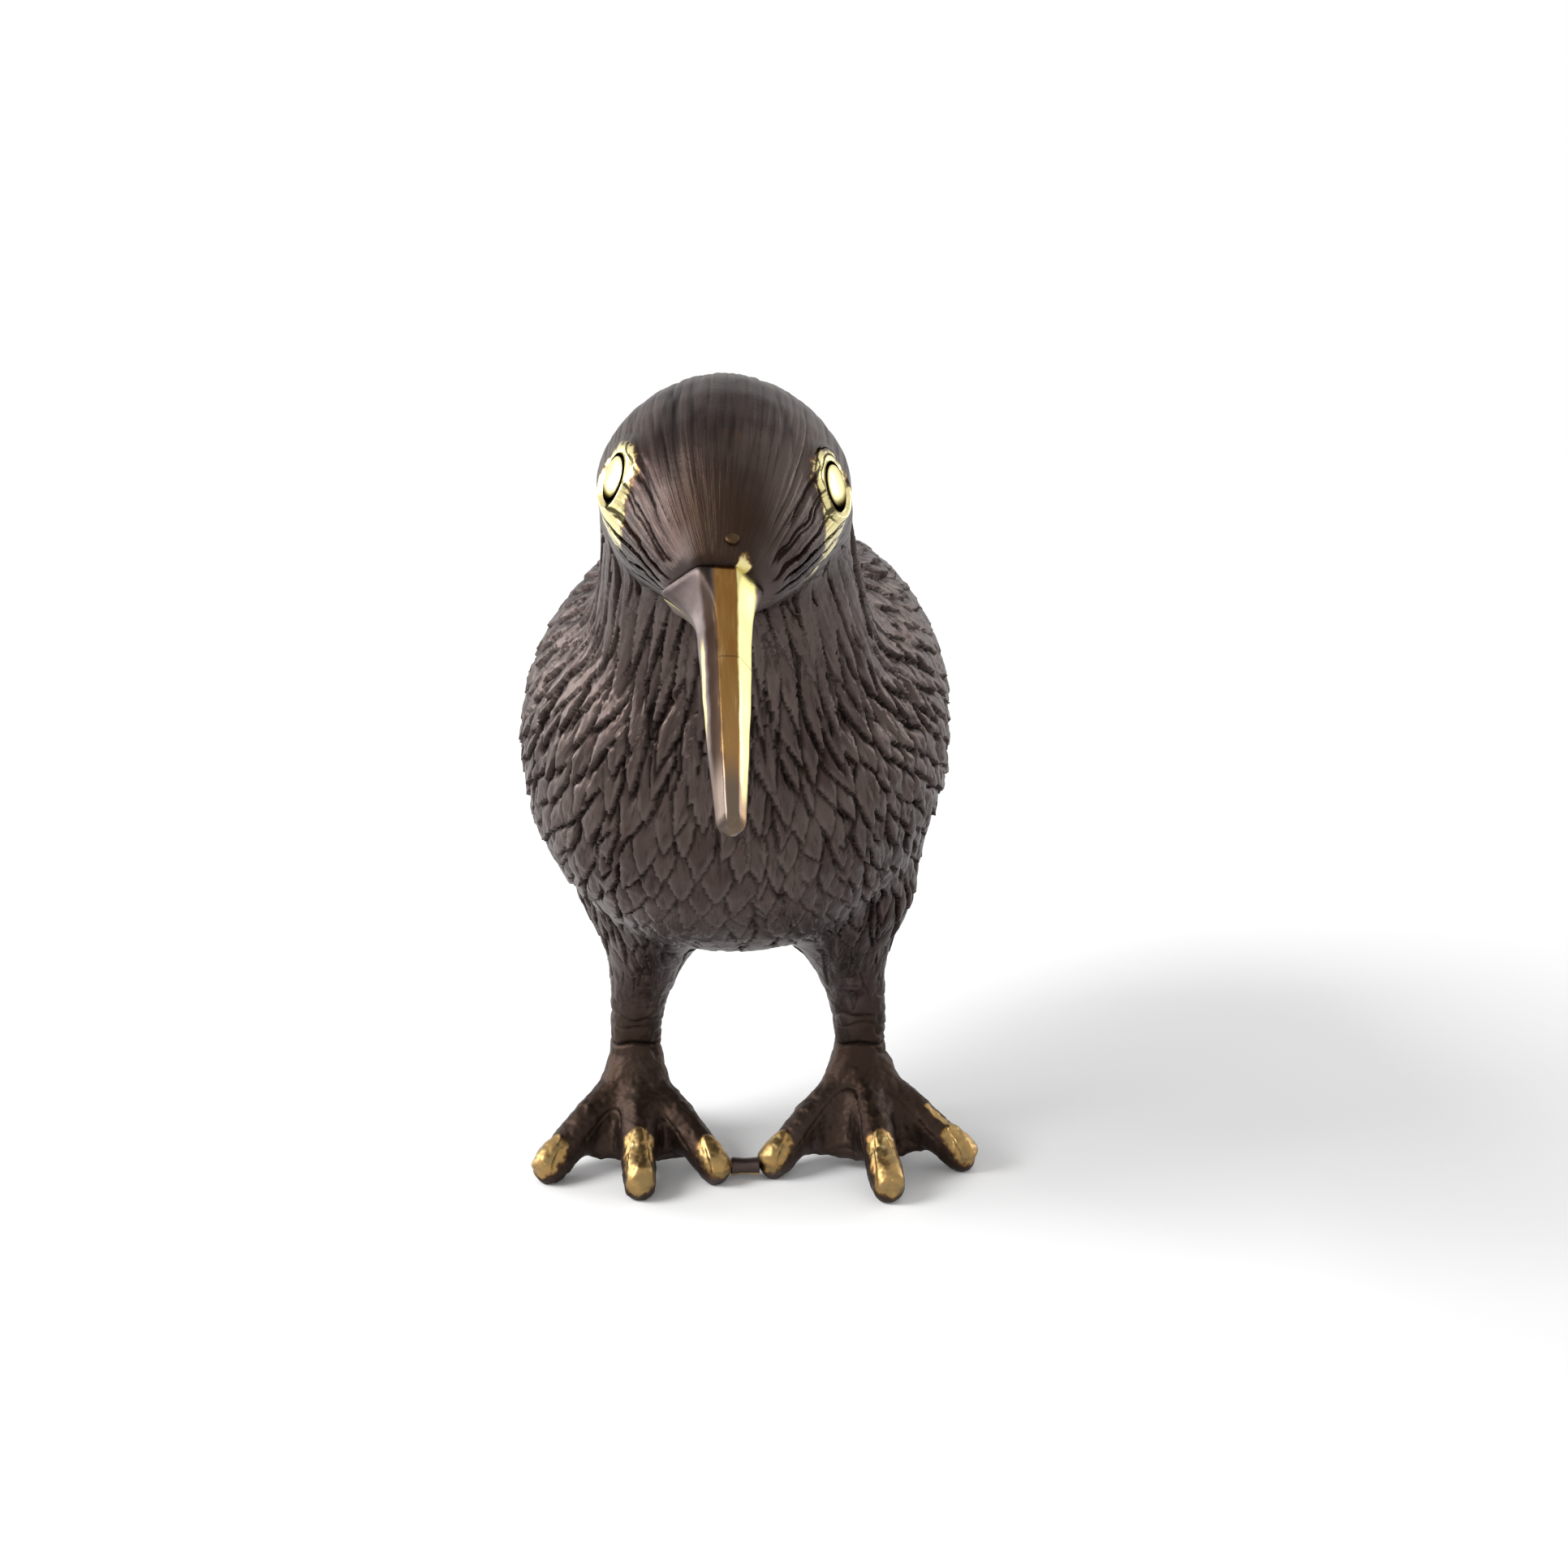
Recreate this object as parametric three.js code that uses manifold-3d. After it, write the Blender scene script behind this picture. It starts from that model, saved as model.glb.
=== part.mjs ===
// Bronze kiwi figurine: a small standing bird cast in parts, then pinned and brazed.
// Millimetres, +Z up. The bird faces -Y, and its own left side is +X.
// The origin is on the floor, below the middle of the whole figurine.

import * as THREE from 'three';
import { mergeVertices } from 'three/addons/utils/BufferGeometryUtils.js';
import Module from 'manifold-3d';

const wasm = await Module();
wasm.setup();

// Fits
const gap = 0.3;                   // brazing gap between two pieces that touch
const joinOverlap = 1;             // a spigot or tenon is sunk this far into its own casting
const pinBite = 2;                 // a pin ends this far past the spigot that it holds

// Body
const bellyHeight = 31;            // floor to the underside of the belly
const bodyHalfWidth = 27.5;        // at the widest section
const bodyAbove = 29;              // widest level up to the back
const bodyBelow = 30;              // widest level down to the belly
const bodyFront = 36;              // widest section forward to the breast
const bodyRear = 48;               // widest section back to the rump
const bodyPitch = 0.12;            // drop of the body's axis per millimetre towards the rump
const bodyTurn = 0.09;             // shift of the axis to the bird's left, in the same way
const bellySquareness = 2.15;      // lower half of each section: 2 is an ellipse, more is fuller
const wallThickness = 3.4;         // bronze wall of the hollow body
const coreHoleRadius = 4.5;        // hole in the belly, for the rod that held the core
const coreHoleBack = 24;           // behind the body's widest section
const corePinRadius = 1.1;
const corePinReach = 4;            // how far a core pin goes into the clay
const corePinShare = 0.3;          // place of the side pins: widest section 0, rump 1

// Head
const headForward = 32;            // body's widest section to the head's widest section
const headSide = -0.9;             // the head is carried a little to the bird's right
const headRise = 40.5;             // body's widest level to the head's centre
const headHalfWidth = 14.9;
const headAbove = 13.2;            // head's centre up to the crown
const headBelow = 13.2;            // head's centre down to the throat
const headBack = 16.5;             // head's centre back to the nape
const headFront = 21;              // head's centre forward to the bill's seam
const headDrop = 6.2;              // head's centre down to the centre of the bill's seam
const headRoll = 0.04;             // radians, the head leans to the bird's left
const headNarrowing = 1.9;         // how late the head narrows towards the bill: 1 is a straight cone
const headDroop = 1.6;             // how late it drops, in the same way
const crownSquareness = 1.8;       // upper half of each section: less than 2 is more pointed
const muzzleHalfWidth = 6.2;       // head at the bill's seam
const muzzleHalfHeight = 4.6;
const muzzleTilt = 0.5;            // radians, lean of the bill's seam

// Neck
const neckRootHalfWidth = 24;      // where the neck leaves the body
const neckRootDepth = 23;          // half of its size front to back
const neckRootBack = 20;           // neck root behind the head's centre
const neckRootRise = 6;            // neck root above the body's widest level
const neckTopHalfWidth = 15;
const neckTopDepth = 13;
const neckTaper = 2.3;             // how soon the neck narrows above its root: 1 is a straight cone
const neckTopInset = 2;            // neck's top behind and below the head's centre
const neckSeamTilt = 0.43;         // radians, lean of the head's seam
const neckSeamDrop = 10;           // head's centre down to the seam
const neckSeamBack = 4;            // head's centre back to the middle of the seam
const spigotRadius = 5;
const spigotLength = 10;
const neckPinRadius = 1.2;

// Bill
const billLength = 33.5;           // seam to tip, in a straight line
const billAngle = 0.57;            // radians below level
const billBow = 1.2;               // how far the bill bows above that straight line
const billSide = 1.3;              // tip's offset to the bird's left
const billHalfWidth = 3.15;
const billHalfHeight = 3.3;
const billFlare = 0.9;             // extra height at the seam, above and below
const billFlareLeft = 0.8;         // extra width at the seam, on the bird's left
const billFlareRight = 2.7;        // the same on the bird's right, where the gape's corner is fuller
const billFlareReach = 0.23;       // share of the bill that the flare takes
const billTipRadius = 1.5;
const billSquareness = 2.4;        // 2 is an ellipse, more is boxier
const tenonRadius = 2.4;
const tenonLength = 8;
const billPinRadius = 0.8;
const billPinBite = 1;             // the pin ends this far past the tenon
const billPinSide = 1.2;           // pin's offset to the bird's left
const billPinBack = 2.2;           // pin behind the bill's seam
const gapeDrop = 0.6;              // centre of the bill's seam down to the gape
const gapeTipDrop = 0.9;           // tip of the bill down to the gape's line

// Eyes
const eyeRadius = 3;
const eyeBulge = 0.6;
const eyeSeatDepth = 1;
const eyeShankRadius = 1.4;
const eyeShankLength = 4;
const eyeStation = 0.64;           // place along the head: nape 0, bill's seam 1
const eyeAngle = 0.38;             // radians above the head's widest level

// Legs
const stanceShift = 1.1;           // the stance stands this much to the bird's left
const legBack = 3;                 // ankles behind the body's widest section
const ankleSpread = 15.2;          // middle of the stance to each ankle
const ankleHeight = 15.5;          // floor to the seam at the ankle
const ankleRadius = 3.5;
const shankRadius = 3.7;
const hipSeamDrop = 0.5;           // belly down to the seam across the thigh
const thighRadius = 7.1;           // at the hip seam
const thighSpread = 12.6;
const thighDepth = 1.15;           // front to back, in widths
const thighTopRadius = 13;         // where the thigh is lost in the body
const thighTopSpread = 11;
const thighTopRise = 20;           // hip seam up to the thigh's top
const hipSpigotRadius = 3;
const hipSpigotLength = 9;
const hipPinRadius = 1;
const ankleTenonRadius = 1.9;
const ankleTenonLength = 6.5;
const anklePinRadius = 0.7;
const kneeShare = 0.45;            // ankle's seam to hip's seam, up to the knee
const kneeSwell = 1.08;            // knee's width, in shank widths
const kneeLean = 0.25;             // share of the way from ankle spread to thigh spread
const drumShare = 0.55;            // knee to hip's seam, up to the middle of the drumstick
const drumLean = 0.65;
const drumSwell = 0.45;            // share of the way from shank to thigh radius
const ankleSwell = 0.3;            // the same just above the ankle, from ankle to shank radius
const ankleSwellRise = 2;          // ankle's seam up to there
const hamRise = 0.3;               // hip seam to the thigh's top, up to the ham
const hamSpread = 0.5;             // share of the way from the thigh's spread at the seam to its top's
const hamSwell = 0.6;              // share of the way from the thigh's radius at the seam to its top's

// Feet
const toeRadius = 2.8;             // at the root
const toeTipRadius = 2.35;
const toeRidge = 0.9;              // extra height of the ridge along a toe
const toeRootHeight = 10;          // floor to the centre line of a toe at its root
const padDepth = 0.5;              // flat filed under each toe
const padShare = 0.16;             // share of a toe that lies level on the floor
const toeArch = 0.85;              // how a toe comes down: 1 is straight, less is arched
const hindToeLength = 8.5;
const hindToeShare = 0.8;          // root height of the hind toe, in front toe root heights
const webReach = 12.5;             // ankle to the edge of the web, along a toe
const webNotch = 0.72;             // depth of the web's edge between two toes
const webClearance = 1.4;          // floor to the underside of the web
const webEdge = 0.6;               // thickness of the web at its edge
const webHeel = 1;                 // reach of the web past the ankle's radius, behind it
const webOverlap = 0.35;           // radians that the web runs on past the outer toes
const webSlope = [[0.6, 0.22], [0.3, 0.42], [0.06, 0.72]];  // shares of its reach and of its rise
const bridgeRadius = 1.25;         // tie bar between the inner toes
const bridgeHeight = 1.9;
const rightOuterToe = 19.4;        // toe lengths, ankle's axis to tip
const rightMiddleToe = 19.8;
const rightInnerToe = 19.3;
const leftInnerToe = 18.4;
const leftMiddleToe = 20.8;
const leftOuterToe = 18.6;
const rightToes = [                // turn: radians from straight ahead, to the bird's left
  { length: rightOuterToe, turn: -0.72 },
  { length: rightMiddleToe, turn: 0.06 },
  { length: rightInnerToe, turn: 0.70 },
];
const leftToes = [
  { length: leftInnerToe, turn: -0.80 },
  { length: leftMiddleToe, turn: 0.19 },
  { length: leftOuterToe, turn: 0.97 },
];

// Feathers, in rows across the body from the neck to the rump. Their places are turns about the
// middle of the body: away from the head's direction, and round it.
const plumeColumns = 50;           // feathers in a row
const plumeRows = 22;
const plumeFirst = 0.42;           // radians from the head's direction to the first row's tips
const plumeLast = 2.75;            // the same for the last row
const plumeCorner = 0.28;          // corner between two feathers, past the tip above it, in row steps
const plumeLip = 0.1;              // length of the step at a feather's edge, in row steps
const plumeTipRise = 0.3;          // feather's tip above the smooth body
const plumeCornerDrop = 0.2;       // corner between two feathers below it
const plumeGrooveDrop = 0.5;       // groove under a feather's tip below it
const plumeStray = 0.15;           // unevenness of the tips' places, in row and column steps
const plumeCollar = [2.2, 1.7, 1.2, 0.7];  // smooth rings above the first row's tips, in row steps

// Fineness of the faceted surfaces
const bodySides = 36;
const bodyRings = 18;
const coreSides = 20;
const coreRings = 10;
const headSides = 28;
const headRings = 12;
const neckSides = 28;
const billSides = 16;
const legSides = 16;
const toeSides = 10;
const pinSides = 12;
const eyeSides = 20;

// Places that follow from the sizes above
const bodyLevel = bellyHeight + bodyBelow;
const bodyCentre = new THREE.Vector3(0, 0, bodyLevel);
const headCentre = new THREE.Vector3(headSide, -headForward, bodyLevel + headRise);
const muzzleCentre = headCentre.clone().add(new THREE.Vector3(0, -headFront, -headDrop));
const hipSeam = bellyHeight - hipSeamDrop;
const farAway = 200;
const pinOutreach = 50;            // a pin's rod is made this long, then trimmed to the surface

function vector(x, y, z) {
  return new THREE.Vector3(x, y, z);
}

// A ring of points round a centre, in the plane of two directions. The powers are 2 for an
// ellipse, more for a boxier half and less for a more pointed one.
function ring(centre, across, lift, halfWidth, above, below, sides, powerAbove = 2, powerBelow = 2) {
  const points = [];
  for (let i = 0; i < sides; i += 1) {
    const angle = (2 * Math.PI * i) / sides;
    const c = Math.cos(angle);
    const s = Math.sin(angle);
    const power = s > 0 ? powerAbove : powerBelow;
    const x = Math.sign(c) * Math.abs(c) ** (2 / power) * halfWidth;
    const z = Math.sign(s) * Math.abs(s) ** (2 / power) * (s > 0 ? above : below);
    points.push(centre.clone().addScaledVector(across, x).addScaledVector(lift, z));
  }
  return points;
}

// A closed surface through a row of rings, with a point at each end
function loft(start, rings, end) {
  const sides = rings[0].length;
  const points = [start, ...rings.flat(), end];
  const last = points.length - 1;
  const faces = [];
  for (let i = 0; i < sides; i += 1) {
    const j = (i + 1) % sides;
    faces.push(0, 1 + j, 1 + i);
    for (let k = 0; k + 1 < rings.length; k += 1) {
      const near = 1 + k * sides;
      const far = near + sides;
      faces.push(near + i, near + j, far + j, near + i, far + j, far + i);
    }
    faces.push(last, last - sides + i, last - sides + j);
  }
  const geometry = new THREE.BufferGeometry().setFromPoints(points);
  geometry.setIndex(faces);
  return geometry;
}

// Solids for joining and cutting
function signedVolume(positions, triangles) {
  const a = vector(0, 0, 0);
  const b = vector(0, 0, 0);
  const c = vector(0, 0, 0);
  let volume = 0;
  for (let i = 0; i < triangles.length; i += 3) {
    a.fromArray(positions, 3 * triangles[i]);
    b.fromArray(positions, 3 * triangles[i + 1]);
    c.fromArray(positions, 3 * triangles[i + 2]);
    volume += a.dot(b.cross(c)) / 6;
  }
  return volume;
}

function toSolid(geometry) {
  const bare = geometry.clone();
  bare.deleteAttribute('normal');
  bare.deleteAttribute('uv');
  const merged = mergeVertices(bare);
  const positions = Float32Array.from(merged.getAttribute('position').array);
  const index = merged.index.array;
  const triangles = [];
  for (let i = 0; i < index.length; i += 3) {
    const [a, b, c] = [index[i], index[i + 1], index[i + 2]];
    if (a !== b && b !== c && c !== a) {
      triangles.push(a, b, c);
    }
  }
  const outward = signedVolume(positions, triangles) > 0 ? triangles : triangles.reverse();
  const mesh = new wasm.Mesh({
    numProp: 3,
    vertProperties: positions,
    triVerts: Uint32Array.from(outward),
  });
  return new wasm.Manifold(mesh);
}

function toGeometry(solid) {
  const mesh = solid.getMesh();
  const geometry = new THREE.BufferGeometry();
  geometry.setAttribute('position', new THREE.BufferAttribute(mesh.vertProperties, 3));
  geometry.setIndex(new THREE.BufferAttribute(mesh.triVerts, 1));
  return geometry;
}

function joined(solids) {
  return solids.reduce((whole, solid) => whole.add(solid));
}

function cutBy(solid, cutters) {
  return cutters.reduce((left, cutter) => left.subtract(cutter), solid);
}

// A round rod between two points
function rod(from, to, radius, sides = pinSides) {
  const along = to.clone().sub(from);
  const geometry = new THREE.CylinderGeometry(radius, radius, along.length(), sides);
  const turn = new THREE.Quaternion().setFromUnitVectors(vector(0, 1, 0), along.clone().normalize());
  geometry.applyQuaternion(turn);
  geometry.translate(...from.clone().add(to).multiplyScalar(0.5).toArray());
  return toSolid(geometry);
}

// Everything on one side of a plane
function halfSpace(point, normal) {
  const geometry = new THREE.BoxGeometry(2 * farAway, 2 * farAway, farAway);
  geometry.translate(0, 0, farAway / 2);
  geometry.applyQuaternion(new THREE.Quaternion().setFromUnitVectors(vector(0, 0, 1), normal));
  geometry.translate(...point.toArray());
  return toSolid(geometry);
}

function mix(a, b, t) {
  return a + (b - a) * t;
}

// Body: an egg lying along Y, its axis dropping towards the rump
function bodyAxis(y) {
  return vector(bodyTurn * y, y, bodyLevel - bodyPitch * y);
}

function bodySkin(inset, sides, rings) {
  const list = [];
  const centreAt = (s) => bodyAxis(s * ((s < 0 ? bodyFront : bodyRear) - inset));
  for (let i = 1; i < rings; i += 1) {
    const s = -Math.cos((Math.PI * i) / rings);
    const size = Math.sqrt(1 - s * s);
    list.push(ring(centreAt(s), vector(1, 0, 0), vector(0, 0, 1), (bodyHalfWidth - inset) * size,
      (bodyAbove - inset) * size, (bodyBelow - inset) * size, sides, 2, bellySquareness));
  }
  return toSolid(loft(centreAt(-1), list, centreAt(1)));
}

// Head: from the nape to the seam of the bill, drooping and narrowing forward
function headSection(t) {
  const forward = mix(-headBack, headFront, t);
  const across = vector(Math.cos(headRoll), 0, -Math.sin(headRoll));
  if (forward < 0) {
    const size = Math.sqrt(1 - (forward / headBack) ** 2);
    return {
      centre: headCentre.clone().add(vector(0, -forward, 0)),
      across,
      lift: vector(Math.sin(headRoll), 0, Math.cos(headRoll)),
      width: headHalfWidth * size,
      above: headAbove * size,
      below: headBelow * size,
    };
  }
  const u = forward / headFront;
  const ease = u ** headNarrowing;
  const tilt = muzzleTilt * u;
  return {
    centre: headCentre.clone().add(vector(0, -forward, -headDrop * u ** headDroop)),
    across,
    lift: vector(Math.sin(headRoll) * Math.cos(tilt), -Math.sin(tilt), Math.cos(headRoll) * Math.cos(tilt)),
    width: mix(headHalfWidth, muzzleHalfWidth, ease),
    above: mix(headAbove, muzzleHalfHeight, ease),
    below: mix(headBelow, muzzleHalfHeight, ease),
  };
}

function headRing(t, sides) {
  const { centre, across, lift, width, above, below } = headSection(t);
  return ring(centre, across, lift, width, above, below, sides, crownSquareness);
}

function headSkin() {
  const list = [];
  for (let i = 1; i <= headRings; i += 1) {
    const t = (1 - Math.cos((Math.PI * i) / headRings)) / 2;
    list.push(headRing(t, headSides));
  }
  return toSolid(loft(headSection(0).centre, list, muzzleCentre));
}

// Neck: from inside the body up to the middle of the head
function neckSkin() {
  const root = vector(0, -headForward + neckRootBack, bodyLevel + neckRootRise);
  const top = headCentre.clone().add(vector(0, neckTopInset, -neckTopInset));
  const along = top.clone().sub(root).normalize();
  const lift = vector(0, along.z, -along.y);
  const steps = 6;
  const list = [];
  for (let i = 0; i <= steps; i += 1) {
    const t = i / steps;
    const ease = 1 - (1 - t) ** neckTaper;
    const depth = mix(neckRootDepth, neckTopDepth, ease);
    list.push(ring(root.clone().lerp(top, t), vector(1, 0, 0), lift,
      mix(neckRootHalfWidth, neckTopHalfWidth, ease), depth, depth, neckSides));
  }
  return toSolid(loft(root, list, top));
}

// Legs: side is 1 on the bird's left and -1 on its right
function legCentre(side, spread, height) {
  return vector(stanceShift + side * spread, legBack, height);
}

function legSkin(side) {
  const kneeHeight = mix(ankleHeight, hipSeam, kneeShare);
  const thighTop = hipSeam + thighTopRise;
  const station = (height, spread, radius, depth) => ({ height, spread, radius, depth });
  const stations = [
    station(ankleHeight - joinOverlap, ankleSpread, ankleRadius, 1),
    station(ankleHeight + ankleSwellRise, ankleSpread, mix(ankleRadius, shankRadius, ankleSwell), 1),
    station(kneeHeight, mix(ankleSpread, thighSpread, kneeLean), shankRadius * kneeSwell, 1),
    station(mix(kneeHeight, hipSeam, drumShare), mix(ankleSpread, thighSpread, drumLean),
      mix(shankRadius, thighRadius, drumSwell), mix(1, thighDepth, drumSwell)),
    station(hipSeam, thighSpread, thighRadius, thighDepth),
    station(mix(hipSeam, thighTop, hamRise), mix(thighSpread, thighTopSpread, hamSpread),
      mix(thighRadius, thighTopRadius, hamSwell), thighDepth),
    station(thighTop, thighTopSpread, thighTopRadius, thighDepth),
  ];
  const list = stations.map(({ height, spread, radius, depth }) => ring(
    legCentre(side, spread, height), vector(1, 0, 0), vector(0, 1, 0),
    radius, radius * depth, radius * depth, legSides,
  ));
  const top = stations[stations.length - 1];
  const foot = legCentre(side, ankleSpread, stations[0].height);
  return toSolid(loft(foot, list, legCentre(side, top.spread, top.height)));
}

// Feet
function toeSkin(side, toe, rootHeight, grow = 0) {
  const heading = vector(Math.sin(toe.turn), -Math.cos(toe.turn), 0);
  const across = vector(Math.cos(toe.turn), Math.sin(toe.turn), 0);
  const up = vector(0, 0, 1);
  const padCentre = toeTipRadius - padDepth;
  const ankle = legCentre(side, ankleSpread, 0);
  const rise = (t) => Math.max(0, 1 - t / (1 - padShare)) ** toeArch;
  const place = (t) => ankle.clone().addScaledVector(heading, toe.length * t)
    .add(vector(0, 0, mix(padCentre, rootHeight, rise(t))));
  const steps = 8;
  const roundFrom = 1 - toeTipRadius / toe.length;
  const list = [];
  for (let i = 0; i <= steps; i += 1) {
    const t = (roundFrom * i) / steps;
    const radius = mix(toeRadius, toeTipRadius, t) + grow;
    list.push(ring(place(t), across, up, radius, radius + toeRidge, radius, toeSides));
  }
  for (const turn of [0.5, 1]) {
    const t = mix(roundFrom, 1, Math.sin(turn));
    const radius = toeTipRadius * Math.cos(turn) + grow;
    list.push(ring(place(t), across, up, radius, radius + toeRidge * Math.cos(turn), radius, toeSides));
  }
  return toSolid(loft(place(0), list, place(1).addScaledVector(heading, grow)));
}

function webSkin(side, toes) {
  const ankle = legCentre(side, ankleSpread, 0);
  const plan = new THREE.Shape();
  const heelRadius = ankleRadius + webHeel;
  const edge = (turn, reach) => [Math.sin(turn) * reach, -Math.cos(turn) * reach];
  plan.moveTo(...edge(toes[0].turn, webReach));
  for (let i = 0; i + 1 < toes.length; i += 1) {
    const between = (toes[i].turn + toes[i + 1].turn) / 2;
    plan.quadraticCurveTo(...edge(between, webReach * webNotch), ...edge(toes[i + 1].turn, webReach));
  }
  const left = toes[toes.length - 1].turn + webOverlap;
  const right = toes[0].turn - webOverlap + 2 * Math.PI;
  for (let i = 0; i <= 6; i += 1) {
    plan.lineTo(...edge(mix(left, right, i / 6), heelRadius));
  }
  plan.closePath();
  const block = new THREE.ExtrudeGeometry(plan, {
    depth: ankleHeight, bevelEnabled: false, curveSegments: 5,
  });
  const top = ankleHeight - gap;
  const slope = ([reach, rise]) => [mix(ankleRadius, webReach, reach), mix(webClearance, top, rise)];
  const profile = [
    [0, webClearance],
    [webReach + joinOverlap, webClearance],
    [webReach + joinOverlap, webClearance + webEdge],
    ...webSlope.map(slope),
    slope([0, 1]),
    [0, top],
  ];
  const cone = new THREE.LatheGeometry(profile.map(([x, y]) => new THREE.Vector2(x, y)), 32);
  cone.rotateX(Math.PI / 2);
  return toSolid(block).intersect(toSolid(cone)).translate(ankle.x, ankle.y, 0);
}

// Chance: a number from 0 to 1 for each feather, which looks random and is the same in each build
function chance(row, column, kind) {
  const [byRow, byColumn, byKind, spread] = [12.9898, 78.233, 37.719, 43758.5453];
  const value = Math.sin(row * byRow + column * byColumn + kind * byKind) * spread;
  return value - Math.floor(value);
}

const plumeRowStep = (plumeLast - plumeFirst) / (plumeRows - 1);
const plumeColumnStep = (2 * Math.PI) / plumeColumns;

// A feather's tip, as its turn away from the head's direction and its turn round it
function plumeTip(row, column) {
  const own = (column + plumeColumns) % plumeColumns;
  const stray = (kind) => plumeStray * (2 * chance(row, own, kind) - 1);
  const offset = ((row + 2) % 2) / 2;
  return {
    away: plumeFirst + plumeRowStep * (row + stray(1)),
    round: plumeColumnStep * (column + offset + stray(2)),
  };
}

// The edge of a row of feathers: tips, and between them corners just past the tips of the row above
function plumeEdge(row) {
  const odd = row % 2;
  const list = [];
  for (let i = 0; i < 2 * plumeColumns; i += 1) {
    if (i % 2 === odd) {
      list.push({ ...plumeTip(row, (i - odd) / 2), isTip: true });
    } else {
      const above = plumeTip(row - 1, (i - 1 + odd) / 2);
      list.push({ ...above, away: above.away + plumeRowStep * plumeCorner, isTip: false });
    }
  }
  return list;
}

// The body and neck with their feathers: each row of them ends in a step down to the next
function plumedSkin(smooth) {
  const bothSides = new THREE.MeshBasicMaterial({ side: THREE.DoubleSide });
  const mesh = new THREE.Mesh(toGeometry(smooth), bothSides);
  const caster = new THREE.Raycaster();
  const pole = headCentre.clone().sub(bodyCentre).normalize();
  const left = vector(1, 0, 0).addScaledVector(pole, -pole.x).normalize();
  const over = pole.clone().cross(left);
  const place = ({ away, round }, rise) => {
    const direction = pole.clone().multiplyScalar(Math.cos(away))
      .addScaledVector(left, Math.sin(away) * Math.cos(round))
      .addScaledVector(over, Math.sin(away) * Math.sin(round));
    caster.set(bodyCentre, direction);
    const [surface] = caster.intersectObject(mesh);
    return bodyCentre.clone().addScaledVector(direction, surface.distance + rise);
  };
  const smoothRing = (away, rise) => Array.from({ length: 2 * plumeColumns }, (_, i) => (
    place({ away, round: plumeColumnStep * i / 2 }, rise)));
  const list = plumeCollar.map((steps) => smoothRing(plumeFirst - steps * plumeRowStep, 0));
  for (let row = 0; row < plumeRows; row += 1) {
    const edge = plumeEdge(row);
    const lip = plumeRowStep * plumeLip;
    list.push(edge.map((point) => place(point, point.isTip ? plumeTipRise : -plumeCornerDrop)));
    list.push(edge.map(({ away, round }) => place({ away: away + lip, round }, -plumeGrooveDrop)));
  }
  list.push(smoothRing(plumeLast + 2 * plumeRowStep, -plumeCornerDrop));
  return toSolid(loft(place({ away: 0, round: 0 }, 0), list, place({ away: Math.PI, round: 0 }, 0)));
}

// The whole surface, before it is parted at the seams
const sides = { left: 1, right: -1 };
const legs = { left: legSkin(sides.left), right: legSkin(sides.right) };
const head = headSkin();
const bodyAndNeck = bodySkin(0, bodySides, bodyRings).add(neckSkin());
const smoothTrunk = bodyAndNeck.add(head);
const plumedTrunk = joined([plumedSkin(bodyAndNeck), head, legs.left, legs.right]);

// Seams
const neckSeamNormal = vector(0, -Math.sin(neckSeamTilt), Math.cos(neckSeamTilt));
const neckSeamPoint = headCentre.clone().add(vector(0, neckSeamBack, 0))
  .addScaledVector(neckSeamNormal, -neckSeamDrop);
const aboveNeckSeam = halfSpace(neckSeamPoint, neckSeamNormal);
const belowNeckSeam = halfSpace(
  neckSeamPoint.clone().addScaledVector(neckSeamNormal, -gap), neckSeamNormal.clone().negate());
const aboveHipSeam = halfSpace(vector(0, 0, hipSeam), vector(0, 0, 1));
const belowHipSeam = halfSpace(vector(0, 0, hipSeam - gap), vector(0, 0, -1));
const aboveAnkleSeam = halfSpace(vector(0, 0, ankleHeight), vector(0, 0, 1));
const aboveFloor = halfSpace(vector(0, 0, 0), vector(0, 0, 1));

// Head spigot and its pin, driven in at the nape
const spigotEnd = neckSeamPoint.clone().addScaledVector(neckSeamNormal, -spigotLength);
const spigotStart = neckSeamPoint.clone().addScaledVector(neckSeamNormal, joinOverlap);
const spigot = rod(spigotStart, spigotEnd, spigotRadius, 24);
const spigotSocket = rod(neckSeamPoint, spigotEnd.clone().addScaledVector(neckSeamNormal, -gap),
  spigotRadius + gap, 24);
const neckPinAxis = vector(0, neckSeamNormal.z, -neckSeamNormal.y);
const neckPinMiddle = neckSeamPoint.clone().addScaledVector(neckSeamNormal, -spigotLength / 2);
const neckPinFrom = neckPinMiddle.clone().addScaledVector(neckPinAxis, -spigotRadius - pinBite);
const neckPinTo = neckPinMiddle.clone().addScaledVector(neckPinAxis, pinOutreach);
const neckPin = rod(neckPinFrom, neckPinTo, neckPinRadius).intersect(plumedTrunk);
const neckPinBore = rod(neckPinFrom.clone().addScaledVector(neckPinAxis, -gap), neckPinTo,
  neckPinRadius + gap);

// Bill, one shape parted along the gape
const billDirection = vector(0, -Math.cos(billAngle), -Math.sin(billAngle));
const billLift = vector(0, -Math.sin(billAngle), Math.cos(billAngle));
const muzzleNormal = vector(0, -Math.cos(muzzleTilt), -Math.sin(muzzleTilt));
const billRoot = muzzleCentre.clone().addScaledVector(muzzleNormal, gap);

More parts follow.
